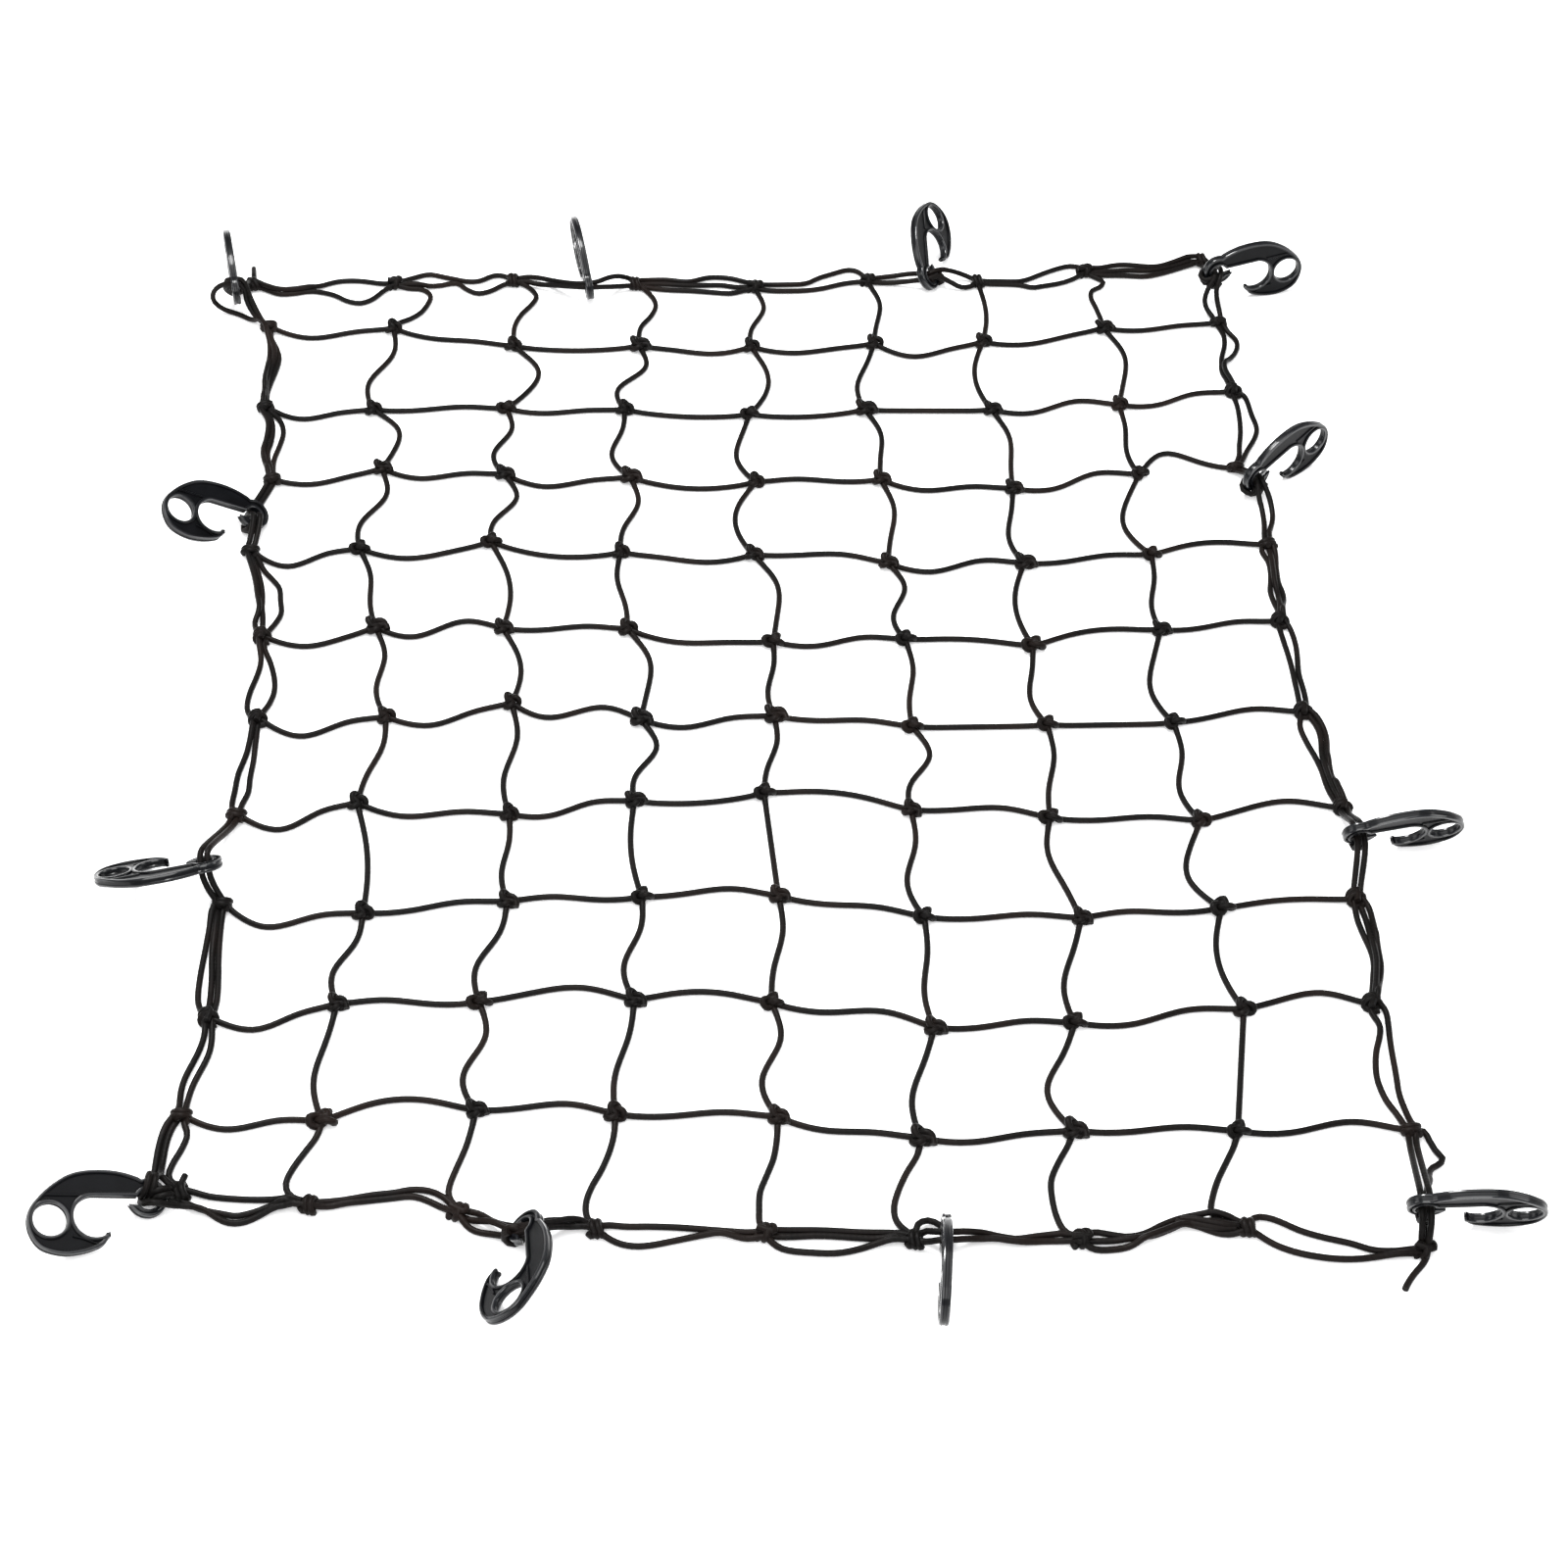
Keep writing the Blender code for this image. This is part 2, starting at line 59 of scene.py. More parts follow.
driftY = (
    (-26, -22, -15, -19, -22, -9, -9, 10, 31), (12, 12, -15, -13, -13, -6, -2, 23, 33),
    (-6, -8, -5, -5, -11, -2, -1, 8, 30), (-6, 12, 5, 2, -4, 1, -11, 11, 21),
    (1, 6, 17, 3, 1, -10, -9, 4, 19), (-5, 9, 8, 8, -8, -4, -12, 10, 22),
    (-1, 3, 21, 1, 6, -7, -4, -1, 13), (-7, 8, -5, 11, 21, 1, -8, -11, 4),
    (1, -8, 5, 10, 11, -12, -13, -2, 8), (-11, 4, 6, 8, 5, -21, -16, -2, 3),
    (1, -4, 6, 2, -1, -22, -15, -16, -16), (38, 25, 18, 2, -2, -9, -9, 1, -20))

# two letters a bay, the stray at one and two thirds: o none, a to h 5 to 40 mm, capitals up or right
crossBends = {
    1: "ca ao aa ab ba db ba ao", 2: "ca oA ao aa aa oo aB aA", 3: "ba bo ca bb Ao bo aB FC",
    4: "da cb bb ab AB bA oA BB", 5: "cb bB oA ba aA AA BB oA", 6: "da ca bB bo oA oo oo AB",
    7: "da bo aA aa BB AB oA BC", 8: "da oA Ao AB oA oA Ao AA", 9: "ca Ao BC BB oB oA aA BC",
    10: "bo CC AB oA ao ao oA oB"}
longBends = {
    1: "GE Ab DC Ba Ao Aa Ao AA ob ab bd", 2: "DA ED Ab Co BB BB Aa oa ob Ab oa",
    3: "DA Bb ac Bo ao CB Co aa ob oa oa", 4: "Bo CC bc cc CB oa Ao oo Ao Ab Aa",
    5: "BA ab BA BA Ba Ao Co ob oa ab bc", 6: "AA bb BA ab bb ab Ao ba ab bd cd",
    7: "oo CB oa cd oa bc ob cd bb oo cd"}
edgeBends = {
    "far": {"inner": "ce oc oo bb ba oA bc bb", "outer": "bA Bo BA BC oC BD aA oA"},
    "near": {"inner": "oo BC ao oo oo Ao oB oo", "outer": "cb BC co ca cb Ao bA dc"},
    "left": {"inner": "ao BA CA AA DD BC AA dc oA Ao Ao", "outer": "hf Ao oa ob BA ob oa ed ab oa bc"},
    "right": {"inner": "oa oa AA BA oa oo ba Aa oA bc oA", "outer": "oA Co CD CC AA AA Ao BA BB Ao CB"}}

# how the cords lie along the edges where the even stray doesn't give it: points between the two knots
edgeRuns = {
    ("far", 0): {
        "inner": ((-466, 566), (-454, 560), (-440, 561), (-425, 565), (-412, 563), (-400, 558),
            (-388, 549), (-375, 546), (-364, 553), (-354, 567)),
        "outer": ((-464, 566), (-448, 562), (-425, 567), (-410, 577), (-395, 583), (-375, 583),
            (-358, 579))},
    ("far", 1): {
        "inner": ((-330, 574), (-315, 574), (-300, 577), (-285, 581), (-275, 571), (-264, 564),
            (-252, 568), (-240, 578)),
        "outer": ((-335, 585), (-325, 590), (-312, 596), (-300, 592), (-290, 589), (-275, 584),
            (-262, 585), (-254, 592), (-243, 596))},
    ("far", 2): {
        "inner": ((-215, 580), (-195, 573, 7), (-176, 562, 13), (-157, 553, 18.5), (-140, 562, 13),
            (-125, 573, 6)),
        "outer": ((-221, 592), (-208, 590, 4), (-190, 577, 9), (-172, 563, 16), (-157, 559.3, 18.5),
            (-147, 561.5, 19.5), (-137, 571, 18), (-126, 582, 12), (-118, 586, 6))},
    ("far", 3): {
        "inner": ((-100, 576), (-80, 573), (-60, 572), (-40, 570), (-20, 568), (-8, 572)),
        "outer": ((-104, 588), (-92, 590), (-78, 590), (-60, 587), (-40, 595), (-20, 594), (-6, 588)),
        "spare": ((-90, 583), (-60, 581), (-30, 582), (-15, 579))},
    ("far", 4): {
        "inner": ((20, 573), (35, 573), (52, 574), (70, 578), (90, 586), (105, 589)),
        "outer": ((15, 583), (35, 584), (55, 586), (66, 595), (85, 605), (98, 611), (108, 606))},
    ("far", 5): {
        "inner": ((126, 588), (145, 587, 4), (162, 584, 9), (174, 583, 12), (183, 586, 13), (194, 584, 8),
            (205, 580, 4), (214, 582)),
        "outer": ((124, 597), (140, 599, 3), (156, 598, 7), (168, 593, 10.5), (174, 589, 13),
            (184, 594, 15), (198, 599, 10), (212, 598, 5))},
    ("far", 6): {
        "inner": ((235, 588), (250, 588), (264, 587), (276, 583), (288, 586), (302, 590), (316, 597)),
        "outer": ((235, 593), (250, 593), (264, 593), (275, 598), (290, 608), (308, 618), (320, 621))},
    ("far", 7): {
        "inner": ((345, 605), (368, 605), (390, 604), (410, 611), (432, 622)),
        "outer": ((345, 617), (358, 622), (372, 624), (400, 621), (420, 627), (438, 633)),
        "spare": ((348, 611), (372, 614), (395, 614), (412, 619), (434, 628))},
    ("near", 0): {
        "inner": ((-428, -561), (-415, -565), (-400, -567), (-385, -568), (-368, -568), (-355, -569)),
        "outer": ((-429, -576), (-418, -580), (-408, -586), (-398, -590), (-387, -588), (-375, -581),
            (-363, -576), (-353, -576)),
        "spare": ((-437, -568), (-428, -573), (-417, -578), (-405, -581), (-395, -583), (-384, -580),
            (-372, -575), (-360, -572))},
    ("near", 1): {
        "inner": ((-330, -570), (-318, -568), (-300, -564), (-285, -562), (-271, -559), (-258, -561),
            (-249, -568)),
        "outer": ((-330, -575), (-315, -572), (-300, -569), (-285, -567), (-272, -565), (-261, -569),
            (-250, -576))},
    ("near", 2): {
        "inner": ((-231, -580), (-222, -583, 3), (-212, -592, 6), (-202, -598, 9), (-193, -602, 13),
            (-184, -602, 16), (-173, -596, 12), (-160, -591, 6), (-148, -590, 3)),
        "outer": ((-233, -592), (-226, -598), (-214, -601, 3), (-203, -606, 7), (-194, -608, 12.5),
            (-184, -608, 17), (-175, -604, 14), (-163, -598, 8), (-150, -596, 3)),
        "spare": ((-231, -587), (-223, -590, 3), (-213, -595, 5), (-203, -602, 8), (-193, -605, 13),
            (-184, -605, 17), (-174, -600, 14), (-161, -594, 8), (-148, -592, 4))},
    ("near", 3): {
        "inner": ((-130, -593), (-118, -594), (-100, -594), (-80, -595), (-60, -597), (-40, -599),
            (-30, -600)),
        "outer": ((-131, -605), (-122, -610), (-112, -612), (-100, -611), (-80, -606), (-62, -602),
            (-48, -602), (-32, -606))},
    ("near", 4): {
        "inner": ((-8, -598), (20, -598), (50, -600), (75, -601)),
        "outer": ((-14, -611), (-5, -616), (10, -618), (30, -619), (45, -616), (60, -611), (75, -609)),
        "spare": ((-6, -604), (20, -603), (45, -605), (62, -606), (78, -605))},
    ("near", 5): {
        "inner": ((95, -604, 8), (102, -608, 12.5), (108, -608.6, 13.3), (115, -608, 12.5), (124, -605, 9),
            (136, -603, 5), (150, -605), (161, -606.5), (176, -604), (192, -603)),
        "outer": ((94, -613, 6), (102, -615, 12), (108, -615.5, 13.3), (115, -614, 11), (125, -610, 7),
            (140, -608, 3), (152, -609.5), (162, -611), (177, -609), (194, -609))},
    ("near", 6): {
        "inner": ((216, -601), (228, -603), (240, -605), (253, -602), (265, -595), (278, -589),
            (290, -586), (303, -586), (316, -590)),
        "outer": ((213, -617), (225, -617), (240, -615), (254, -609), (268, -602), (281, -596),
            (294, -597), (304, -602), (316, -604)),
        "spare": ((218, -609), (238, -609), (255, -606), (270, -599), (284, -592), (298, -591),
            (316, -597))},
    ("near", 7): {
        "inner": ((334, -588), (343, -588), (352, -592), (365, -600), (380, -606), (400, -612),
            (415, -618), (430, -619), (441, -618)),
        "outer": ((335, -605), (345, -613), (357, -619), (370, -623), (388, -626), (405, -626),
            (420, -624), (436, -623))},
    ("left", 0): {
        "inner": ((-487, 562, 5), (-495, 549, 9), (-501, 538, 22), (-499, 530, 33), (-484, 528, 33),
            (-480, 521, 20), (-472, 513, 8)),
        "outer": ((-485, 556, 16), (-487, 541, 30), (-491, 530, 36), (-500, 531, 34), (-509, 533, 28),
            (-514, 534, 20), (-514, 533, 12), (-509, 532, 6), (-502, 530, 3), (-490, 526), (-478, 517),
            (-468, 508)),
        "spare": ((-488, 566, 5), (-499, 549, 14), (-500, 541, 26), (-498, 531, 38), (-484, 531, 38),
            (-477, 523, 24), (-468, 512, 9))},
    ("left", 1): {
        "inner": ((-456, 488), (-450, 472), (-446, 457), (-446, 445), (-448, 430), (-451, 412),
            (-452.5, 396)),
        "outer": ((-460, 490), (-456, 475), (-455, 440), (-455.5, 415), (-454.5, 397)),
        "spare": ((-457, 488), (-452, 470), (-450, 455), (-451, 440), (-453.5, 420), (-453.5, 400))},
    ("left", 2): {
        "inner": ((-449, 372), (-439, 360), (-434, 347), (-433, 334), (-435, 318), (-438, 300), (-438, 284)),
        "outer": ((-456, 371), (-449, 358), (-447, 343), (-448, 325), (-449, 310), (-447, 295), (-443, 282)),
        "spare": ((-452, 372), (-446, 360), (-443, 345), (-443, 325), (-445, 310), (-443, 295),
            (-440, 282))},
    ("left", 4): {
        "inner": ((-441, 156), (-434, 140), (-426, 128), (-419, 116), (-417, 100), (-415, 83), (-419, 69),
            (-424, 58)),
        "outer": ((-449, 156), (-445, 143), (-440, 123), (-437, 104), (-434, 90), (-434, 79), (-437, 72),
            (-435, 61)),
        "spare": ((-446, 156), (-441, 143), (-436, 125), (-433, 107), (-432, 90), (-430, 75))},
    ("left", 5): {
        "inner": ((-426, 38), (-419, 18), (-414, -3), (-413, -20), (-416, -35), (-420, -45)),
        "outer": ((-430, 38), (-427, 20), (-429, 0), (-433, -20), (-434, -40), (-430, -50))},
    ("left", 6): {
        "inner": ((-423, -64), (-423, -80), (-423, -105), (-424, -125), (-424, -142), (-428, -158)),
        "outer": ((-427, -64), (-428, -80), (-430, -100), (-434, -120), (-435, -142), (-436, -158))},
    ("left", 8): {
        "inner": ((-432, -278), (-432, -300), (-431, -325), (-429, -350), (-428, -373)),
        "outer": ((-440, -278), (-441, -300), (-442, -325), (-443, -350), (-442, -375)),
        "spare": ((-436, -278), (-436, -300), (-436, -325), (-434, -350), (-433, -375))},
    ("left", 10): {
        "inner": ((-440, -497), (-437, -507), (-440, -521), (-445, -535), (-446, -548)),
        "outer": ((-453, -498), (-456, -512), (-457, -530), (-457, -546)),
        "spare": ((-448, -498), (-451, -512), (-452, -530), (-452, -546, 4), (-449, -556, 14),
            (-444, -562, 14))},
    ("right", 0): {
        "inner": ((447, 618, 5), (447, 600, 16), (448, 585, 27), (449.5, 575, 33), (449.5, 568, 34),
            (449, 560, 32), (443, 553, 24), (440, 548, 14), (442, 542, 7), (447, 534, 3)),
        "outer": ((456, 618, 5), (456, 600, 16), (456, 585, 27), (456.3, 575, 33), (456.3, 568, 34),
            (455, 560, 32), (451, 554, 24), (452, 548, 14), (454, 542, 7), (455, 534, 3))},
    ("right", 1): {
        "inner": ((454, 508), (454, 496), (452, 484), (448, 470), (446, 458), (445, 445), (448, 432)),
        "outer": ((458, 510), (464, 502), (466, 492), (463, 479), (456, 467), (449, 458), (447, 444),
            (451, 428))},
    ("right", 2): {
        "inner": ((452, 396), (452, 376), (450, 352), (446, 330), (443, 312)),
        "outer": ((461, 409), (463, 396), (464, 378), (466, 362), (465, 350), (459, 335), (452, 322),
            (447, 309))},
    ("right", 3): {
        "inner": ((442, 282, 8), (445, 271, 16), (447.5, 262.5, 20.5), (450, 251, 18), (451, 240, 11),
            (453, 230, 5), (453, 214), (451, 200)),
        "outer": ((447, 284, 8), (450, 273, 16), (452.6, 261, 21), (456, 252, 19), (460, 243, 12),
            (462, 234, 6), (462, 223), (459, 211), (455, 199))},
    ("right", 4): {
        "inner": ((445, 175), (449, 161), (449, 146), (447, 131), (445, 119), (446, 105), (448, 92)),
        "outer": ((457, 172), (455, 152), (454, 130), (456, 118), (455, 105), (451, 92)),
        "spare": ((452, 172), (451, 150), (450, 130), (451, 115), (450, 100))},
    ("right", 5): {
        "inner": ((446, 66), (448, 40), (449, 20), (449, 0), (449, -20)),
        "outer": ((455, 70), (457, 50), (456, 30), (454, 10), (455, -10), (455, -26))},
    ("right", 6): {
        "inner": ((447, -48), (445, -60), (448, -79), (452, -95), (455, -112), (457, -135)),
        "outer": ((460, -47), (465, -62), (465, -77), (462, -95), (462, -112), (464, -140)),
        "spare": ((456, -48), (460, -62), (460, -77), (458, -95), (458, -112), (461, -138))},
    ("right", 8): {
        "inner": ((457, -270), (457, -286), (459, -302), (462, -320), (462, -335), (459, -350), (456, -364)),
        "outer": ((468, -270), (469, -286), (468, -302), (468, -330), (466, -345), (461, -362)),
        "spare": ((462, -272), (464, -290), (464, -310), (464, -330), (462, -345), (458, -364))},
    ("right", 9): {
        "inner": ((452, -388), (456, -399), (454, -411), (449, -426), (446, -441), (445, -456),
            (448, -475), (454, -490)),
        "outer": ((463, -382), (463, -396), (461, -420), (460, -450), (459, -470), (461, -486))},
    ("right", 10): {
        "spare": ((471, -506), (474, -516), (477, -526), (481, -533), (476, -539), (470, -543),
            (466, -553, 6), (463, -565, 16), (457, -582, 20))}}

# the long cords' first or last bays, where they turn into the edge before or beside its knot
laneTurns = {
    (1, 0): ((-330, 571), (-318, 570), (-309, 560), (-311, 545), (-317, 531), (-326, 521), (-337, 513)),
    (2, 0): ((-221, 580), (-212, 571), (-207, 559), (-212, 545), (-221, 529), (-227, 508)),
    (3, 0): ((-104, 574), (-95, 560), (-92, 545), (-97, 528), (-107, 508)),
    (7, 0): ((339, 601), (347, 594), (343, 585), (334, 578), (332, 566), (335, 550), (338, 530)),
    (1, 10): ((-343, -508), (-350, -522), (-357, -536), (-362, -550), (-361, -560), (-355, -567)),
    (2, 10): ((-231, -500), (-235, -520), (-241, -540), (-245, -555), (-245, -566)),
    (3, 10): ((-127, -505), (-130, -522), (-136, -541), (-143, -557), (-147, -572), (-146, -586)),
    (4, 10): ((-8, -510), (-11, -530), (-17, -548), (-22, -563), (-23, -580), (-23, -592)),
    (5, 10): ((94, -528), (85, -545), (78, -562), (74, -578), (76, -592)),
    (6, 10): ((205, -520), (197, -535), (190, -552), (189, -570), (191, -588), (196, -601)),
    (7, 10): ((328, -520), (320, -536), (312, -552), (306, -568), (303, -582), (308, -590), (316, -593))}
shortEnds = (       # knot ends and bights that stand clear of the lumps
    ((-478, 574, 5), (-480, 584, 6), (-481, 594, 4), (-482, 603, 2.4)),
    ((-437, -566, 6), (-436, -558, 8), (-434, -549, 7)),
    ((88, -606, 6), (89, -598, 7), (94, -592, 5), (100, -591, 4), (106, -596, 5), (112, -603, 6)),
    ((276, -592, 3), (286, -595, 5), (296, -598, 6), (306, -600, 6), (318, -600, 5)),
    ((280, -590, 4), (290, -593, 7), (300, -596, 8), (310, -598, 8), (320, -598, 6)))
tailRun = ((454, -620, 3), (450, -629), (440, -641), (434.5, -649), (432, -653.5))

# one row a hook: eye, heading, pitch and roll in degrees, the bay it hangs on and how its cords pass the eye
hookColumns = ("eyeX", "eyeY", "heading", "pitch", "roll", "edge", "bay", "cords", "steer", "lane", "wraps")
hookRows = (
    (-491, 529, 101, 14, 88, "left", 0, "outer", 0.0, 4.65, ()),
    (-157, 556, 102, 24, 84, "far", 2, "both", 0.2, 3.35, ()),
    (174, 586, 93, 28, 48, "far", 5, "both", 0.4, 3.0, (-95,)),
    (453, 568, 14, 7, 88, "right", 0, "both", 0.2, 3.45, (-120, -165)),
    (450, 260, 37, 21, 90, "right", 3, "both", 0.4, 3.0, (-100, -150)),
    (466, -216, 4, 10, 112, "right", 7, "both", 0.3, 3.25, (-105,)),
    (452, -600, -6, 10, 110, "right", 10, "both", 0.3, 3.35, (-105,)),
    (108, -612, -95, 30, 90, "near", 5, "both", 0.2, 3.45, ()),
    (-190, -605, -86, 16, 38, "near", 2, "both", 0.4, 3.0, (-100,)),
    (-458, -574, -167, 17, 157, "corner", 0, "outer", 0.3, 3.6, (160, 100)),
    (-447, -250, -168, -4, 29, "left", 7, "both", 0.4, 3.0, ()),
    (-449, 206, -167, 30, 157, "left", 3, "both", 0.1, 3.05, (-85,)))
hooks = [dict(zip(hookColumns, row)) for row in hookRows]


# nodes, for shaders and for geometry alike
class Wire:
    def __init__(self, bench, socket):
        self.bench, self.socket = bench, socket

    def out(self, name):
        return Wire(self.bench, self.socket.node.outputs[name])

    def maths(self, operation, *values):
        return self.bench.node("ShaderNodeMath", {"operation": operation}, dict(enumerate(values)))

    def __add__(self, other):
        return self.maths("ADD", self, other)

    def __radd__(self, other):
        return self.maths("ADD", other, self)

    def __sub__(self, other):
        return self.maths("SUBTRACT", self, other)

    def __rsub__(self, other):
        return self.maths("SUBTRACT", other, self)

    def __mul__(self, other):
        return self.maths("MULTIPLY", self, other)

    def sine(self):
        return self.maths("SINE", self)

    def clamped(self, low, high):
        return self.maths("MINIMUM", self.maths("MAXIMUM", self, low), high)


class Bench:
    def __init__(self, tree):
        self.tree, self.count = tree, 0

    def node(self, kind, settings=None, values=None):
        made = self.tree.nodes.new(kind)
        made.location = (180 * (self.count % 12), -200 * (self.count // 12))
        self.count += 1
        for key, value in (settings or {}).items():
            setattr(made, key, value)
        for key, value in (values or {}).items():
            socket = made.inputs[key]
            if isinstance(value, Wire):
                self.tree.links.new(value.socket, socket)
            elif isinstance(value, list):
                for each in value:
                    self.tree.links.new(each.socket, socket)
            else:
                socket.default_value = value
        return Wire(self, made.outputs[0]) if made.outputs else made


def newMaterial(name):
    material = bpy.data.materials.new(name)
    material.use_nodes = True
    material.node_tree.nodes.clear()
    return material, Bench(material.node_tree)


def finishMaterial(bench, values):
    shader = bench.node("ShaderNodeBsdfPrincipled", None, values)
    bench.node("ShaderNodeOutputMaterial", None, {"Surface": shader})


def noise(bench, coords, scale, detail, **more):
    values = {"Vector": coords, "Scale": scale, "Detail": detail, **more}
    return bench.node("ShaderNodeTexNoise", None, values)


def between(bench, share, first, second):
    return bench.node("ShaderNodeMix", {"data_type": "RGBA"}, {"Factor": share, 6: first, 7: second}).out(2)


cordLook = {"dark": (0.0010, 0.0009, 0.0009, 1), "light": (0.0046, 0.0039, 0.0036, 1),
            "brown": (0.0095, 0.0055, 0.0042, 1), "strands": 8, "layLength": 0.0085, "weaveDepth": 0.00022,
            "fuzz": (1900.0, 3.0), "patch": (14.0, 4.0), "rub": (160.0, 3.0)}      # scale and detail


def makeCordMaterial():
    material, bench = newMaterial("braidedElastic")
    place = bench.node("ShaderNodeAttribute", {"attribute_name": "cordPlace"}).out("Vector")
    split = bench.node("ShaderNodeSeparateXYZ", None, {"Vector": place})
    along, turnCos, turnSin = split, split.out("Y"), split.out("Z")
    angle = turnSin.maths("ARCTAN2", turnSin, turnCos)
    lay = along * (2 * pi / cordLook["layLength"])
    rightHand = (angle * (cordLook["strands"] / 2) + lay).sine()
    leftHand = (angle * (cordLook["strands"] / 2) - lay).sine()
    weave = rightHand * leftHand * 0.5 + 0.5
    coords = bench.node("ShaderNodeTexCoord").out("Object")
    fuzz, patch, rub = (noise(bench, coords, *cordLook[k]) for k in ("fuzz", "patch", "rub"))
    tone = (weave * 0.55 + fuzz * 0.45).clamped(0, 1)
    base = between(bench, tone, cordLook["dark"], cordLook["light"])
    warm = ((patch - 0.44) * 4).clamped(0, 1)
    colour = between(bench, warm * 0.75, base, cordLook["brown"])
    height = weave * 0.75 + fuzz * 0.25
    bump = bench.node("ShaderNodeBump", None, {"Strength": 0.7, "Distance": cordLook["weaveDepth"],
                                               "Height": height})
    finishMaterial(bench, {"Base Color": colour, "Roughness": rub * 0.2 + 0.36, "Normal": bump,
                           "Sheen Weight": 0.01, "Sheen Roughness": 0.5, "Specular IOR Level": 0.07})
    return material


plasticLook = {"dark": (0.0010, 0.0011, 0.0014, 1), "light": (0.0030, 0.0033, 0.0042, 1),
               "worn": (0.020, 0.022, 0.026, 1), "flow": (45.0, 5.0), "grain": (2600.0, 2.0),
               "scuff": (320.0, 6.0), "grainDepth": 0.00006}


def makePlasticMaterial():
    material, bench = newMaterial("mouldedNylon")
    coords = bench.node("ShaderNodeTexCoord").out("Object")
    flow = noise(bench, coords, *plasticLook["flow"], Distortion=0.6)
    grain = noise(bench, coords, *plasticLook["grain"])
    scuff = noise(bench, coords, *plasticLook["scuff"], Roughness=0.7)
    edge = bench.node("ShaderNodeAttribute", {"attribute_name": "edgeWear"}).out("Fac")
    tone = ((flow - 0.3) * 2.2).clamped(0, 1)
    base = between(bench, tone, plasticLook["dark"], plasticLook["light"])
    wear = (edge * (scuff * 1.5 - 0.25)).clamped(0, 1)
    colour = between(bench, wear * 0.55, base, plasticLook["worn"])
    bump = bench.node("ShaderNodeBump", None, {"Strength": 0.3, "Distance": plasticLook["grainDepth"],
                                               "Height": grain + scuff * 0.7})
    rough = flow * 0.12 + grain * 0.06 + wear * 0.1 + 0.24
    finishMaterial(bench, {"Base Color": colour, "Roughness": rough, "Normal": bump,
                           "Specular IOR Level": 0.09, "Coat Weight": (edge * 0.85).clamped(0, 1),
                           "Coat Roughness": 0.07, "Coat IOR": 1.5})
    return material


def makeFloorMaterial():      # it glows a little, so that shadows nearly vanish as in the photo
    material, bench = newMaterial("paleFloor")
    coords = bench.node("ShaderNodeTexCoord").out("Object")
    cloud = noise(bench, coords, 2.0, 2.0)
    colour = between(bench, cloud, (0.93, 0.93, 0.935, 1), (0.945, 0.945, 0.95, 1))
    finishMaterial(bench, {"Base Color": colour, "Roughness": cloud * 0.1 + 0.75, "Specular IOR Level": 0.2,
                           "Emission Color": (1, 1, 1, 1), "Emission Strength": 0.22})
    return material


braidedElastic = makeCordMaterial()
mouldedNylon = makePlasticMaterial()
print("materials made")


# where the hooks and cords lie, in millimetres
def arc(cx, cy, radius, start, stop, count):
    turns = [radians(start + (stop - start) * i / (count - 1)) for i in range(count)]
    return [(cx + radius * cos(t), cy + radius * sin(t)) for t in turns]


def smoothRun(points, steps):     # a rounder run through the same points
    out = []
    for k in range(len(points) - 1):
        p = [Vector(points[min(max(k + d, 0), len(points) - 1)]) for d in (-1, 0, 1, 2)]
        for i in range(steps):
            t = i / steps
            out.append(tuple(0.5 * (2 * p[1] + (p[2] - p[0]) * t
                                    + (2 * p[0] - 5 * p[1] + 4 * p[2] - p[3]) * t ** 2
                                    + (3 * p[1] - p[0] - 3 * p[2] + p[3]) * t ** 3)))
    return out + [tuple(points[-1])]


hookShape = {"thick": 7.0, "eye": (14.0, -2.0), "eyeHole": 7.3, "eyeRing": 14.2, "eyeShift": 1.5,
             "holeArc": (30, 325), "ringArc": (322, 72), "throat": (52.0, -15.2, 15.2),
             "throatArc": (236, 441), "neck": (22.0, 0.0), "eyeTip": (27.7, -5.6),
             "finger": (83.7, -17.9, 12.1), "panelThick": 3.9, "panelLap": 0.9,
             "back": ((21, 14.6), (29, 17.2), (38.5, 19), (50, 19.4), (61.5, 18.2), (70.8, 15.3),
                      (79.2, 10.3), (86.9, 4), (93, -2.7), (97.7, -9.3), (100, -18), (98.6, -27.5),
                      (93.5, -36.5), (85.4, -41.4), (73, -43.5), (60, -41.6), (49.2, -37.7),
                      (44.0, -33.4), (41.2, -27.3), (42.3, -26.3))}
eyeX, eyeY = hookShape["eye"]


def hookOutline(steps):
    points = smoothRun(hookShape["back"], steps)
    points += arc(*hookShape["throat"], *hookShape["throatArc"], 9 * steps + 1) + [hookShape["neck"]]
    points += arc(eyeX, eyeY, hookShape["eyeHole"], *hookShape["holeArc"], 9 * steps + 1)
    points += [hookShape["eyeTip"]]
    return points + arc(eyeX, eyeY + hookShape["eyeShift"], hookShape["eyeRing"], *hookShape["ringArc"],
                        8 * steps + 1)


def hookFrame(hook):
    heading, pitch, roll = (radians(hook[k]) for k in ("heading", "pitch", "roll"))
    shank = Vector((cos(heading) * cos(pitch), sin(heading) * cos(pitch), sin(pitch)))
    side = Vector((-sin(heading), cos(heading), 0.0))
    back = cos(roll) * side + sin(roll) * shank.cross(side)
    return shank, back, shank.cross(back)


for hook in hooks:      # each hook rests on the floor by its lowest edge
    shank, back, normal = hookFrame(hook)
    low = min((x - eyeX) * shank.z + (y - eyeY) * back.z for x, y in hookOutline(1))
    hook["eye"] = Vector((hook["eyeX"], hook["eyeY"], abs(normal.z) * hookShape["thick"] / 2 - low))
hookAt = {(h["edge"], h["bay"]): h for h in hooks}


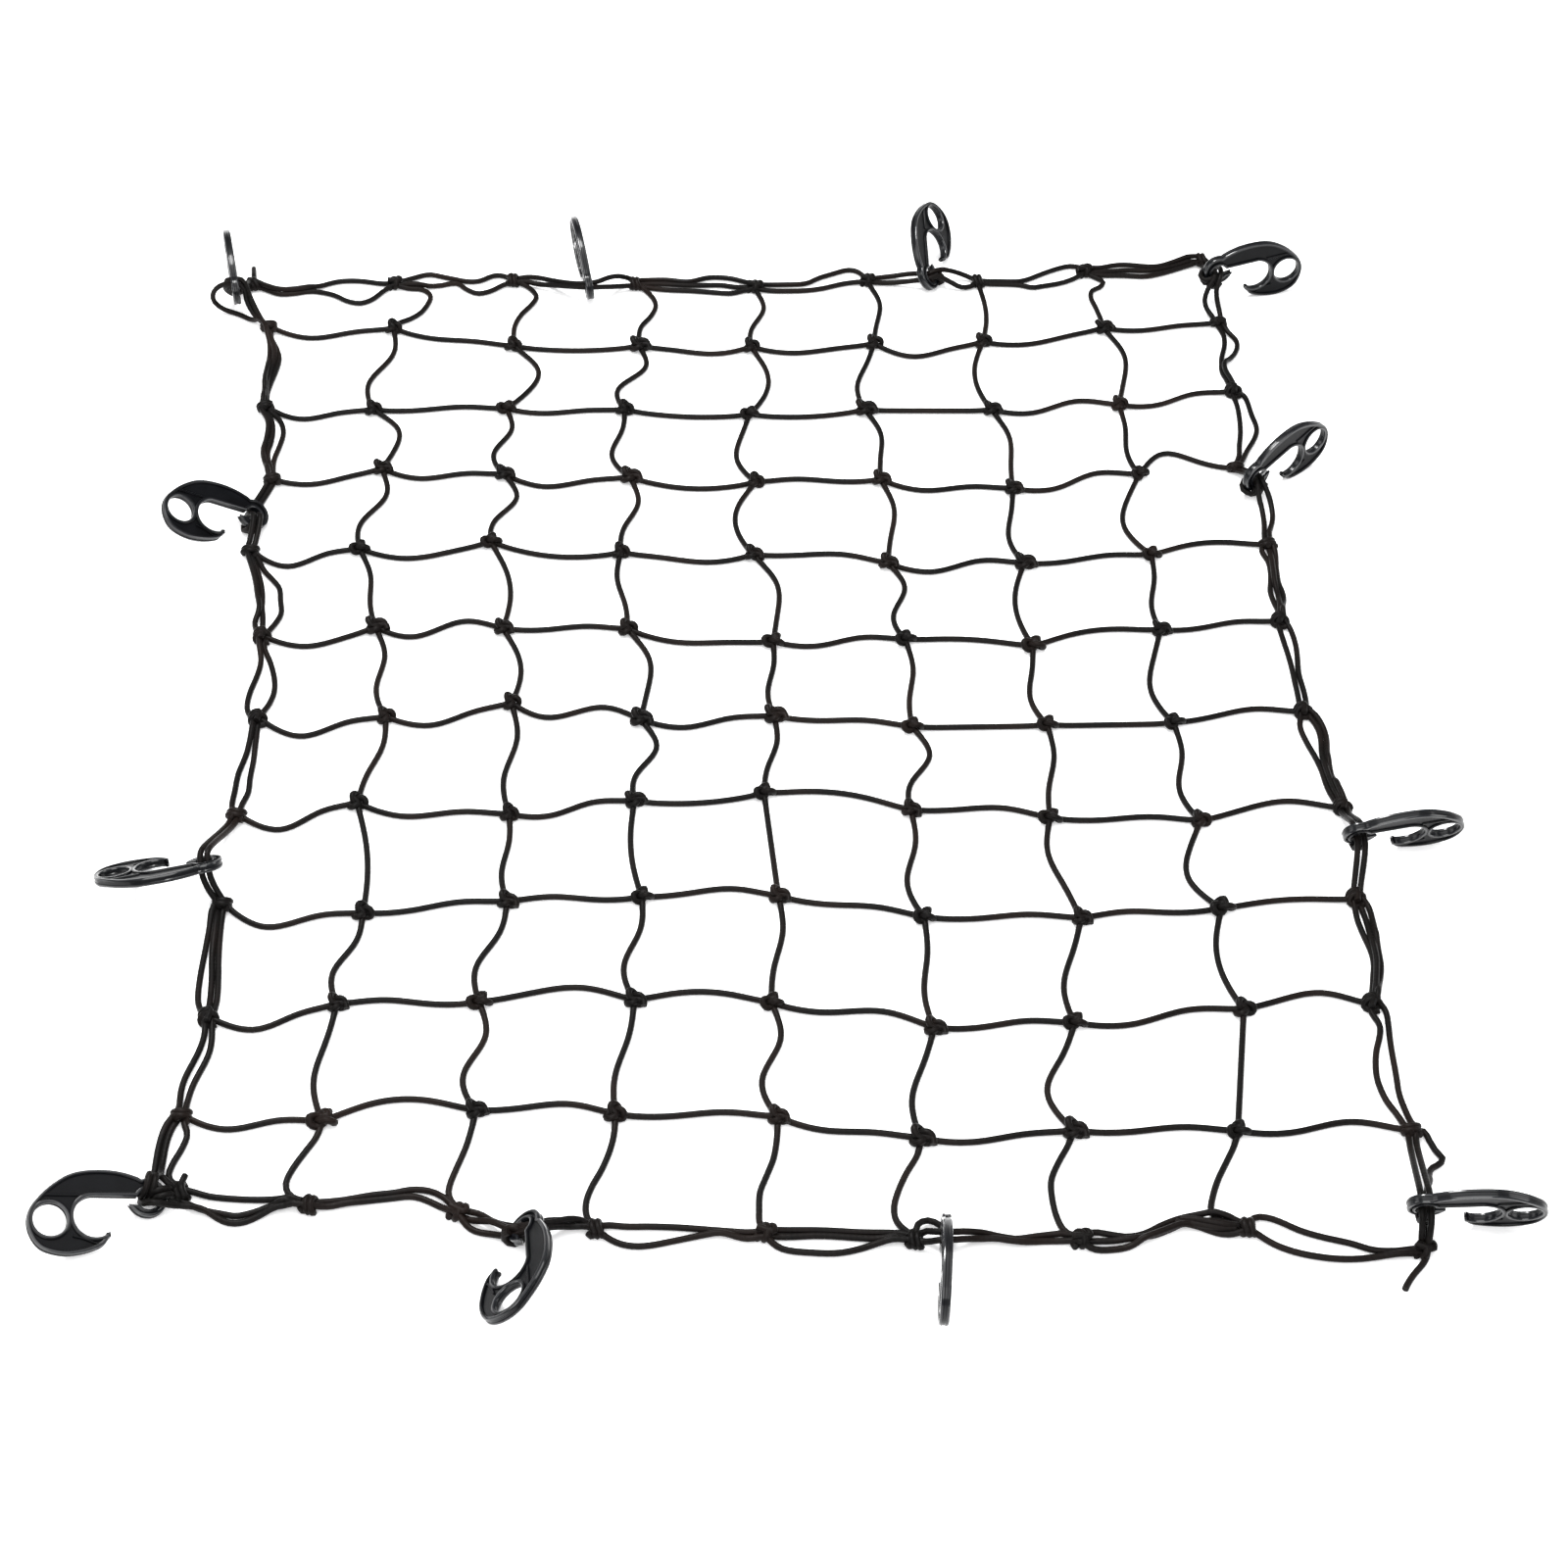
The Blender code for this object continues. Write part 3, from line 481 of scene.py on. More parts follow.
def bends(code):
    def size(mark):
        step = 0.0 if mark == "o" else 5.0 * " abcdefgh".index(mark.lower())
        return step if mark.isupper() else -step
    return [(size(pair[0]), size(pair[1])) for pair in code.split()]


def stray(pair, s):     # nothing at both ends, the two values at one and two thirds, smooth between
    first, second = pair
    leftCurl, rightCurl = 54 * (second - 2 * first), 54 * (first - 2 * second)
    curls = (0.0, (4 * leftCurl - rightCurl) / 15, (4 * rightCurl - leftCurl) / 15, 0.0)
    heights = (0.0, first, second, 0.0)
    k = min(int(s * 3), 2)
    b = s * 3 - k
    a = 1 - b
    return a * heights[k] + b * heights[k + 1] + ((a ** 3 - a) * curls[k] + (b ** 3 - b) * curls[k + 1]) / 54


outward = {"far": Vector((0, 1, 0)), "near": Vector((0, -1, 0)), "left": Vector((-1, 0, 0)),
           "right": Vector((1, 0, 0)), "corner": Vector((-0.7, -0.7, 0))}


def knotPlace(row, lane):
    x = (lane - (lanes - 1) / 2) * pitchX + driftX[row][lane]
    y = ((crossings - 1) / 2 - row) * pitchY + driftY[row][lane]
    return Vector((x, y, half))


def knotOutward(row, lane):
    total = Vector((0, 0, 0))
    for name, hit in (("far", row == 0), ("near", row == crossings - 1), ("left", lane == 0),
                      ("right", lane == lanes - 1)):
        total += outward[name] * hit
    return total.normalized() if total.length else total


def knotCentre(row, lane):
    return knotPlace(row, lane) - knotOutward(row, lane) * netSizes["knotInset"]


def edgeKnots(edge):
    if edge in ("far", "near"):
        return [(0 if edge == "far" else crossings - 1, lane) for lane in range(lanes)]
    return [(row, 0 if edge == "left" else lanes - 1) for row in range(crossings)]


def bayAxis(start, stop, edge):
    run = stop - start
    across = Vector((-run.y, run.x, 0)).normalized()
    wanted = Vector((0, 1, 0)) if edge in ("far", "near", "cross") else Vector((1, 0, 0))
    return across if across.dot(wanted) > 0 else -across


def plainRoute(start, stop, pair, edge, count=26):
    axis = bayAxis(start, stop, edge)
    return [start.lerp(stop, i / count) + axis * stray(pair, i / count) for i in range(count + 1)]


def hermite(p0, m0, p1, m1, s):
    return (p0 * (2 * s ** 3 - 3 * s ** 2 + 1) + m0 * (s ** 3 - 2 * s ** 2 + s)
            + p1 * (3 * s ** 2 - 2 * s ** 3) + m1 * (s ** 3 - s ** 2))


eyeCords = {"halfWay": 7.0, "lead": 24.0, "leadShare": 0.8, "pull": 0.6, "shortPull": 0.25, "shortRun": 45.0}


def eyeRoute(start, stop, hook, laneOffset, count=14):      # knot to knot through a hook's eye
    shank, back, normal = hookFrame(hook)
    run = (stop - start).normalized()
    if normal.dot(run) < 0:
        normal = -normal
    through = (normal + run * hook["steer"]).normalized()
    apart = outward[hook["edge"]]
    apart = (apart - through * apart.dot(through)).normalized()
    centre = hook["eye"] + apart * laneOffset
    nearSide, farSide = centre - through * eyeCords["halfWay"], centre + through * eyeCords["halfWay"]
    pullIn, pullOut = nearSide - start, stop - farSide
    leadIn, leadOut = (min(eyeCords["lead"], pull.length * eyeCords["leadShare"])
                       for pull in (pullIn, pullOut))
    leave = (pullIn.normalized() + run).normalized() * pullIn.length * eyeCords["pull"]
    late = eyeCords["shortPull" if laneOffset > 0 and pullOut.length < eyeCords["shortRun"] else "pull"]
    arrive = (pullOut.normalized() + run).normalized() * pullOut.length * late
    leave.z = arrive.z = 0.0
    points = [hermite(start, leave, nearSide, through * leadIn, i / count) for i in range(count + 1)]
    points += [hermite(farSide, through * leadOut, stop, arrive, i / count) for i in range(count + 1)]
    for p in points:
        p.z = max(p.z, half)
    return points


def through(points):     # a smooth run through the given points, on the floor where they give no height
    placed = [Vector((p[0], p[1], p[2] if len(p) > 2 else half)) for p in points]
    return [Vector(p) for p in smoothRun(placed, 6)]


def bayRoute(a, b, pair, edge, bay, own=None):
    start, stop = knotCentre(*a), knotCentre(*b)
    hook = hookAt.get((edge, bay))
    own = own or edgeRuns.get((edge, bay), {}).get("inner")
    if own:
        points = through([start, *own, stop])
    elif hook and hook["cords"] == "both":
        points = eyeRoute(start, stop, hook, -hook["lane"])
    else:
        points = plainRoute(start, stop, pair, edge)
    for p in points:      # cords climb a little into the lump that ties them
        near = min((p - start).length, (p - stop).length)
        p.z += netSizes["knotRise"] * max(0.0, 1 - near / netSizes["riseReach"]) ** 2
    return points


def meshRoutes():
    routes = []
    for row, code in crossBends.items():
        routes += [bayRoute((row, k), (row, k + 1), pair, "cross", k) for k, pair in enumerate(bends(code))]
    for lane, code in longBends.items():
        routes += [bayRoute((k, lane), (k + 1, lane), pair, "long", k, laneTurns.get((lane, k)))
                   for k, pair in enumerate(bends(code))]
    for edge, codes in edgeBends.items():
        row = edgeKnots(edge)
        routes += [bayRoute(row[k], row[k + 1], pair, edge, k)
                   for k, pair in enumerate(bends(codes["inner"]))]
    for (edge, bay), runs in edgeRuns.items():
        if "spare" in runs:
            row = edgeKnots(edge)
            routes.append(through([knotPlace(*row[bay]), *runs["spare"], knotPlace(*row[bay + 1])]))
    return routes


def passPoint(key):
    return knotPlace(*key) + knotOutward(*key) * (netSizes["besideGap"] - netSizes["knotInset"])


def edgeBay(edge, bay, first=0.0, last=1.0, count=26):
    row = edgeKnots(edge)
    inner, outer = bends(edgeBends[edge]["inner"])[bay], bends(edgeBends[edge]["outer"])[bay]
    a, b = knotPlace(*row[bay]), knotPlace(*row[bay + 1])
    start, stop = passPoint(row[bay]), passPoint(row[bay + 1])
    hook = hookAt.get((edge, bay))
    own = edgeRuns.get((edge, bay), {}).get("outer")
    if own:
        return through([start] * (first == 0) + list(own) + [stop] * (last == 1))
    if hook and hook["edge"] != "corner":
        return eyeRoute(start, stop, hook, hook["lane"])
    axis = bayAxis(a, b, edge)
    sign = 1 if axis.dot(outward[edge]) > 0 else -1
    out = []
    for i in range(count + 1):
        s = first + (last - first) * i / count
        least = stray(inner, s) * sign - netSizes["knotInset"] + netSizes["besideGap"]
        out.append(a.lerp(b, s) + axis * sign * max(stray(outer, s) * sign, least))
    return out


def smoothed(points, rounds):
    for _ in range(rounds):
        points = ([points[0]] + [(p + q * 2 + r) / 4 for p, q, r in zip(points, points[1:], points[2:])]
                  + [points[-1]])
    return points


def evenly(points, step):
    out, left = [points[0]], step
    for a, b in zip(points, points[1:]):
        span = (b - a).length
        while span >= left and span > 0:
            a = a.lerp(b, left / span)
            out.append(a)
            span, left = (b - a).length, step
        left -= span
    return out + [points[-1]]


borderLay = {"leaves": 0.7, "returns": 0.27, "step": 3.0, "rounds": 3}


def borderRoute():      # once round the net, both ends tied at the near right corner
    right = [p for k in range(crossings - 1) for p in edgeBay("right", k)]
    far = [p for k in range(lanes - 1) for p in edgeBay("far", k)]
    left = [p for k in range(crossings - 2) for p in edgeBay("left", k)]
    left += edgeBay("left", crossings - 2, 0.0, borderLay["leaves"])
    near = edgeBay("near", 0, borderLay["returns"], 1.0)
    near += [p for k in range(1, lanes - 1) for p in edgeBay("near", k)]
    turn = hookAt[("corner", 0)]
    around = eyeRoute(left[-1], near[0], turn, turn["lane"])
    run = list(reversed(right)) + list(reversed(far)) + left + around[1:-1] + near
    return smoothed(evenly(run, borderLay["step"]), borderLay["rounds"])


wrapShape = {"turns": 1.85, "start": 0.85, "spread": 9.0, "slack": 0.9, "steps": 48}


def eyeWraps():     # where the cords are wound round a hook's eye
    routes = []
    for hook in hooks:
        shank, back, normal = hookFrame(hook)
        for angle in hook["wraps"]:
            out = shank * cos(radians(angle)) + back * sin(radians(angle))
            along = shank * -sin(radians(angle)) + back * cos(radians(angle))
            outside = hookShape["eyeRing"] + hookShape["eyeShift"] * sin(radians(angle))
            ring = (hookShape["eyeHole"] + outside) / 2
            wide = outside - ring + half + wrapShape["slack"]
            tall = hookShape["thick"] / 2 + half + wrapShape["slack"]
            route = []
            for i in range(wrapShape["steps"] + 1):
                share = i / wrapShape["steps"]
                turn = pi * wrapShape["start"] + 2 * pi * wrapShape["turns"] * share
                side = (share - 0.5) * wrapShape["spread"]
                square = (cos(turn) ** 4 + sin(turn) ** 4) ** -0.25     # clear of the plate's corners
                far = ring - side * side / ring / 2 + wide * square * cos(turn)
                route.append(hook["eye"] + out * far + normal * (tall * square * sin(turn)) + along * side)
            routes.append([Vector((p.x, p.y, max(p.z, half))) for p in route])
    return routes


layRules = {"step": 3.0, "freeEnd": 13.0, "cell": 6.0, "sink": 0.2, "onFloor": 8.0, "stack": 2.6, "rounds": 5}


def laidOver(routes):     # where one cord meets another on the floor it lies on top
    met, out = {}, []
    size, cell = netSizes["cordSize"] - layRules["sink"], layRules["cell"]
    for route in routes:
        route = evenly(route, layRules["step"])
        heights = []
        for p in route:
            height, toEnd = p.z, min((p - route[0]).length, (p - route[-1]).length)
            low = p.z < layRules["onFloor"] and toEnd > layRules["freeEnd"]
            for n in range(9 * low):      # the nine cells round the point
                for q in met.get((int(p.x // cell) + n % 3 - 1, int(p.y // cell) + n // 3 - 1), ()):
                    gap = hypot(p.x - q.x, p.y - q.y)
                    over = max(size * size - gap * gap, 0) ** 0.5
                    if gap < size and abs(q.z - p.z) < over:
                        height = max(height, q.z + over)
            heights.append(min(height, max(p.z, layRules["stack"] * netSizes["cordSize"])))
        for _ in range(layRules["rounds"]):
            heights = [max(b, (a + c) / 2) if 0 < k < len(heights) - 1 else b for k, (a, b, c) in
                       enumerate(zip([0] + heights, heights, heights[1:] + [0]))]
        laid = [Vector((p.x, p.y, h)) for p, h in zip(route, heights)]
        for p in laid:
            met.setdefault((int(p.x // cell), int(p.y // cell)), []).append(p)
        out.append(laid)
    return out


# cords as tubes along their routes
def inFrame(p):
    return (p - middle) * 0.001


def linked(name, data):
    made = bpy.data.objects.new(name, data)
    bpy.context.scene.collection.objects.link(made)
    return made


def lineObject(name, routes, place=inFrame):
    curve = bpy.data.curves.new(name, "CURVE")
    curve.dimensions = "3D"
    for route in routes:
        spline = curve.splines.new("POLY")
        spline.points.add(len(route) - 1)
        for point, p in zip(spline.points, route):
            point.co = (*place(p), 1)
    return linked(name, curve)


def newTree(name, sockets):
    tree = bpy.data.node_groups.new(name, "GeometryNodeTree")
    tree.interface.new_socket("Geometry", in_out="INPUT", socket_type="NodeSocketGeometry")
    for label, kind in sockets.items():
        tree.interface.new_socket(label, in_out="INPUT", socket_type="NodeSocket" + kind)
    tree.interface.new_socket("Geometry", in_out="OUTPUT", socket_type="NodeSocketGeometry")
    return tree, Bench(tree)


def finishTree(bench, shape, finish):
    solid = bench.node("GeometryNodeRealizeInstances", None, {"Geometry": shape})
    worn = bench.node("GeometryNodeSetMaterial", None, {"Geometry": solid, "Material": finish})
    bench.node("NodeGroupOutput", None, {"Geometry": worn})


def captured(bench, shape, kind, label, value):
    kept = bench.node("GeometryNodeCaptureAttribute", None, {"Geometry": shape})
    kept.socket.node.capture_items.new(kind, label)
    bench.tree.links.new(value.socket, kept.socket.node.inputs[1])
    return kept


def tubeNodes(bench, line, radius, sides, step):     # a closed tube that remembers its length and turn
    line = bench.node("GeometryNodeResampleCurve", {"mode": "LENGTH"}, {"Curve": line, "Length": step})
    along = bench.node("GeometryNodeSplineParameter").out("Length")
    kept = captured(bench, line, "FLOAT", "along", along)
    ring = bench.node("GeometryNodeCurvePrimitiveCircle", None, {"Resolution": sides, "Radius": radius})
    turn = bench.node("GeometryNodeInputPosition")
    ringKept = captured(bench, ring, "VECTOR", "turn", turn)
    tube = bench.node("GeometryNodeCurveToMesh", None, {"Curve": kept, "Profile Curve": ringKept,
                                                        "Fill Caps": True})
    unit = bench.node("ShaderNodeVectorMath", {"operation": "NORMALIZE"}, {0: ringKept.out(1)})
    split = bench.node("ShaderNodeSeparateXYZ", None, {"Vector": unit})
    place = bench.node("ShaderNodeCombineXYZ", None, {"X": kept.out(1), "Y": split, "Z": split.out("Y")})
    return bench.node("GeometryNodeStoreNamedAttribute", {"data_type": "FLOAT_VECTOR", "domain": "POINT"},
                      {"Geometry": tube, "Name": "cordPlace", "Value": place})


def baked(maker, tree, values, name):      # the tree's result as a plain mesh piece
    modifier = maker.modifiers.new("nodes", "NODES")
    modifier.node_group = tree
    sockets = {item.name: item.identifier for item in tree.interface.items_tree if item.in_out == "INPUT"}
    for label, value in values.items():
        modifier[sockets[label]] = value
    bpy.context.view_layer.update()
    ready = maker.evaluated_get(bpy.context.evaluated_depsgraph_get())
    mesh = bpy.data.meshes.new_from_object(ready)
    mesh.name = name
    piece = linked(name, mesh)
    bpy.data.objects.remove(maker, do_unlink=True)
    mesh.shade_smooth()
    mesh.set_sharp_from_angle(angle=radians(55))
    return piece


def makeCordTree():
    tree, bench = newTree("cordTubes", {"Radius": "Float", "Sides": "Int", "Step": "Float",
                                        "Finish": "Material"})
    given = bench.node("NodeGroupInput")
    tube = tubeNodes(bench, given, given.out("Radius"), given.out("Sides"), given.out("Step"))
    finishTree(bench, tube, given.out("Finish"))
    return tree


cordTree = makeCordTree()
cordSizes = {"Radius": half * 0.001, "Sides": 12, "Step": 0.0047, "Finish": braidedElastic}
closeSizes = {**cordSizes, "Step": 0.004}      # for the tighter bends of the border and the loose end

*netLines, borderLine = laidOver(meshRoutes() + [borderRoute()])
netLines += [through(run) for run in shortEnds] + eyeWraps()
netCords = baked(lineObject("netLines", netLines), cordTree, cordSizes, "net_cords")
borderCord = baked(lineObject("borderLine", [borderLine]), cordTree, closeSizes, "border_round")
tailPath = through(tailRun)
looseTail = baked(lineObject("tailLine", [tailPath]), cordTree, closeSizes, "loose_tail")
tuple(inFrame(tailPath[0]))
[tuple(inFrame(p)) for p in tailPath]
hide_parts("border_cord")


# knots: an overhand turn of the same cord at every crossing, its short end sticking out
knotLook = {"rise": 2.9, "lift": 5.6, "cordRadius": 2.55, "edgeScale": 1.05, "cornerScale": 1.1,
            "largeScale": 1.13, "twist": 12, "outFromCentre": 2.3, "begins": 0.02, "round": 0.97,
            "tipSide": 0.2, "tipRise": 1.6, "bundleWide": 5.9, "bundleHigh": 4.0, "bundleMiddle": 4.3,
            "laidHigh": 8.4, "floorGap": 0.05, "seed": 23}
crossingKinds = (       # angles in degrees, lengths in millimetres, hand for the way it is tied
    {"reach": 8.0, "lean": 14, "swing": -40, "squash": 0.88, "hand": 1, "tip": (8.0, -6.4, 5.0)},
    {"reach": 8.8, "lean": -12, "swing": 8, "squash": 0.78, "hand": -1, "tip": (3.4, 7.4, 5.8)},
    {"reach": 7.6, "lean": 20, "swing": 75, "squash": 0.95, "hand": 1, "tip": (-3.4, 5.4, 6.8)})
# the kind of each crossing's knot, a row per crossing cord, capitals for the larger lumps
knotCodes = ("ccAccca", "cbcbAac", "aaAcaab", "bbcaaAb", "AacbbBa", "ccAAbbb", "ccababc", "cababaB",
             "abababc", "BacaAAb")
edgeKinds = (       # turns round the bundle, how far they spread along it, and the way they lean
    {"turns": 1.75, "spread": 7.4, "start": 200, "skew": 2.4},
    {"turns": 2.2, "spread": 8.6, "start": 150, "skew": -2.0})


def offFloor(points, rounds):
    low = knotLook["cordRadius"] + knotLook["floorGap"]
    return [Vector((p.x, p.y, max(p.z, low))) for p in smoothed(points, rounds)]


def crossingLine(kind):
    scale = kind["reach"] / 3
    points = []
    for i in range(65):
        t = 2 * pi * (knotLook["begins"] + knotLook["round"] * i / 64)
        points.append(Vector(((sin(t) + 2 * sin(2 * t)) * scale,
                              (cos(t) - 2 * cos(2 * t)) * scale * kind["squash"] * kind["hand"],
                              -sin(3 * t) * knotLook["rise"])))
    turn = Matrix.Rotation(radians(kind["lean"]), 3, "X") @ Matrix.Rotation(radians(kind["swing"]), 3, "Z")
    points = [turn @ p + Vector((0, 0, knotLook["lift"])) for p in smoothed(points, 2)]
    last, tip = points[-1], Vector(kind["tip"])
    over = Vector((tip.x, tip.y * knotLook["tipSide"], tip.z + knotLook["tipRise"]))      # over the turn
    points += [last.lerp(over, k / 4) for k in range(1, 5)] + [over.lerp(tip, k / 4) for k in range(1, 5)]
    return offFloor(points, 2)


def edgeLine(kind):     # turns round the cords that run along the edge, then one strand laid across them
    points = []
    for i in range(57):
        share = i / 56
        angle = radians(kind["start"]) + 2 * pi * kind["turns"] * share
        points.append(Vector(((share - 0.5) * kind["spread"] + kind["skew"] * sin(angle),
                              knotLook["bundleWide"] * cos(angle),
                              knotLook["bundleMiddle"] + knotLook["bundleHigh"] * sin(angle))))
    last = points[-1]
    across = Vector((-last.x, -last.y * 0.4, knotLook["laidHigh"]))
    points += [last.lerp(across, k / 6) for k in range(1, 7)]
    return offFloor(points, 3)


def makeKnotTree(kindLines):
    tree, bench = newTree("tiedKnots", {"Cord radius": "Float", "Sides": "Int", "Step": "Float",
                                        "Seed": "Int", "Unevenness": "Float", "Finish": "Material"})
    given = bench.node("NodeGroupInput")
    turn, size, kind = (bench.node("GeometryNodeInputNamedAttribute", {"data_type": sort}, {"Name": name})
                        for name, sort in (("turn", "FLOAT"), ("size", "FLOAT"), ("kind", "INT")))
    uneven = bench.node("FunctionNodeRandomValue", {"data_type": "FLOAT"},
                        {2: 1 - given.out("Unevenness"), 3: 1 + given.out("Unevenness"),
                         "Seed": given.out("Seed")}).out(1)
    spin = bench.node("ShaderNodeCombineXYZ", None, {"Z": turn})
    scale = bench.node("ShaderNodeCombineXYZ", None, {"X": size * uneven, "Y": size,
                                                      "Z": 1.0 + (size - 1) * 0.5})
    parts = []
    for n, line in enumerate(kindLines):
        shape = bench.node("GeometryNodeObjectInfo", None, {"Object": line}).out("Geometry")
        tube = tubeNodes(bench, shape, given.out("Cord radius"), given.out("Sides"), given.out("Step"))
        chosen = bench.node("FunctionNodeCompare", {"data_type": "INT", "operation": "EQUAL"},
                            {2: kind, 3: n})
        parts.append(bench.node("GeometryNodeInstanceOnPoints", None,
                                {"Points": given, "Selection": chosen, "Instance": tube, "Rotation": spin,
                                 "Scale": scale}))
    joined = bench.node("GeometryNodeJoinGeometry", None, {"Geometry": parts})
    finishTree(bench, joined, given.out("Finish"))
    return tree


def knotSpots():
    chance = random.Random(knotLook["seed"])
    places, turns, sizes, kinds = [], [], [], []
    for row in range(crossings):
        for lane in range(lanes):
            edges = (row in (0, crossings - 1)) + (lane in (0, lanes - 1))
            here = knotCentre(row, lane) + knotOutward(row, lane) * knotLook["outFromCentre"]
            side = knotCentre(row, min(lane + 1, lanes - 1)) - knotCentre(row, max(lane - 1, 0))
            if edges and lane in (0, lanes - 1) and row not in (0, crossings - 1):
                side = knotCentre(row - 1, lane) - knotCentre(row + 1, lane)
            code = "" if edges else knotCodes[row - 1][lane - 1]
            places.append(inFrame(Vector((here.x, here.y, 0))))
            twist = chance.uniform(-knotLook["twist"], knotLook["twist"])
            turns.append(atan2(side.y, side.x) + radians(twist))
            sizes.append(knotLook["largeScale"] if code.isupper() else
                         (1.0, knotLook["edgeScale"], knotLook["cornerScale"])[edges])
            kinds.append(3 + chance.randrange(2) if edges else "abc".index(code.lower()))
    return places, turns, sizes, kinds


def makeKnots():
    kindLines = [lineObject("knotKind", [line], lambda p: p * 0.001)
                 for line in [*map(crossingLine, crossingKinds), *map(edgeLine, edgeKinds)]]
    places, turns, sizes, kinds = knotSpots()
    mesh = bpy.data.meshes.new("knotSpots")
    mesh.from_pydata(places, [], [])
    for label, kind, values in (("turn", "FLOAT", turns), ("size", "FLOAT", sizes), ("kind", "INT", kinds)):
        mesh.attributes.new(label, kind, "POINT").data.foreach_set("value", values)
    piece = baked(linked("knotSpots", mesh), makeKnotTree(kindLines),
                  {"Cord radius": knotLook["cordRadius"] * 0.001, "Sides": 8, "Step": 0.0017, "Seed": 7,
                   "Unevenness": 0.07, "Finish": braidedElastic}, "tied_knots")
    for line in kindLines:
        bpy.data.objects.remove(line, do_unlink=True)
    return piece


tiedKnots = makeKnots()
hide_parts("net_mesh")
for piece in (netCords, borderCord, tiedKnots, looseTail):
    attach(piece, "root")
print("knots tied:", len(tiedKnots.data.polygons), "faces")


# hooks: a recessed plate with a raised grooved rim, a collar round the finger hole, a rib and a lip
rimProfile = ((0.0, 1.35), (-0.5, 0.85), (-0.5, -0.85), (0.0, -1.35), (0.0, -2.7), (-0.35, -3.3),
              (-0.95, -3.5), (-2.1, -3.42), (-2.75, -3.1), (-3.05, -2.3), (-3.05, 2.3), (-2.75, 3.1),
              (-2.1, 3.42), (-0.95, 3.5), (-0.35, 3.3), (0.0, 2.7))
rimWear = {"corner": 1.0, "outside": 0.3, "inside": 0.12, "cornerFrom": 2.6, "insideFrom": -1.0}
ribs = (        # line, half width and half height of the shank's rib and of the lip at the throat
    (((64.6, 0.3), (70.0, 0.3), (76.0, 0.3), (82.0, 0.3), (88.0, 0.3)), 1.1, 3.1),
    (((67.5, -30.2), (62.0, -31.2), (57.0, -33.0), (52.0, -35.2)), 0.9, 3.2))


def outwardNormals(loop):
    area = sum(a[0] * b[1] - b[0] * a[1] for a, b in zip(loop, loop[1:] + loop[:1]))
    sign = 1 if area > 0 else -1
    out = []
    for k in range(len(loop)):
        a, b, c = (Vector(loop[(k + d) % len(loop)]) for d in (-1, 0, 1))
        first, second = (b - a).normalized(), (c - b).normalized()
        n = Vector((first.y + second.y, -first.x - second.x)) * sign
        n.normalize()
        across = max(0.6, n.dot(Vector((first.y, -first.x)) * sign))
        out.append(n / across)
    return out


def joinRings(bm, rings):
    for a, b in zip(rings, rings[1:]):
        for j in range(len(a)):
            k = (j + 1) % len(a)
            bm.faces.new((a[j], a[k], b[k], b[j]))


def addRim(bm, loop, profile, flip=1):
    normals = outwardNormals(loop)
    wear = bm.verts.layers.float["edgeWear"]
    rings = []
    for (x, y), n in zip(loop, normals):
        ring = []
        for u, v in profile:
            vert = bm.verts.new((x + n.x * u * flip, y + n.y * u * flip, v))
            place = "corner" if abs(v) > rimWear["cornerFrom"] else "outside"
            vert[wear] = rimWear[place if u > rimWear["insideFrom"] else "inside"]
            ring.append(vert)
        rings.append(ring)
    joinRings(bm, rings + rings[:1])


def addPlate(bm, loops, top):
    flat = [Vector((x, y, 0)) for loop in loops for x, y in loop]
    low = [bm.verts.new((p.x, p.y, -top)) for p in flat]
    high = [bm.verts.new((p.x, p.y, top)) for p in flat]
    for a, b, c in tessellate_polygon([[Vector((x, y, 0)) for x, y in loop] for loop in loops]):
        bm.faces.new((high[a], high[b], high[c]))
        bm.faces.new((low[c], low[b], low[a]))
    start = 0
    for loop in loops:
        for j in range(len(loop)):
            a, b = start + j, start + (j + 1) % len(loop)
            bm.faces.new((low[a], low[b], high[b], high[a]))
        start += len(loop)


def addRib(bm, line, wide, top):        # a bar with round ends that stands on both faces of the plate
    line = [Vector(p) for p in line]
    loop = []
    for k, p in enumerate(line):
        run = (line[min(k + 1, len(line) - 1)] - line[max(k - 1, 0)]).normalized()
        loop.append((p, Vector((-run.y, run.x)), run))
    first, last = loop[0], loop[-1]
    capTurns = (pi / 4, pi / 2, 3 * pi / 4)
    sides = [p + n * wide for p, n, _ in loop]
    sides += [last[0] + (last[1] * cos(t) + last[2] * sin(t)) * wide for t in capTurns]
    sides += [p - n * wide for p, n, _ in reversed(loop)]
    sides += [first[0] - (first[1] * cos(t) + first[2] * sin(t)) * wide for t in capTurns]
    levels = ((-top, 0.55), (-top + 0.5, 0.92), (-top + 1.2, 1.0),
              (top - 1.2, 1.0), (top - 0.5, 0.92), (top, 0.55))      # height and share of the width
    rings = []
    for z, share in levels:
        ring = []
        for p in sides:
            spine = min(line, key=lambda q: (p - q).length)
            ring.append(bm.verts.new((*(spine + (p - spine) * share), z)))
        rings.append(ring)
    joinRings(bm, rings)
    bm.faces.new(rings[0])
    bm.faces.new(list(reversed(rings[-1])))


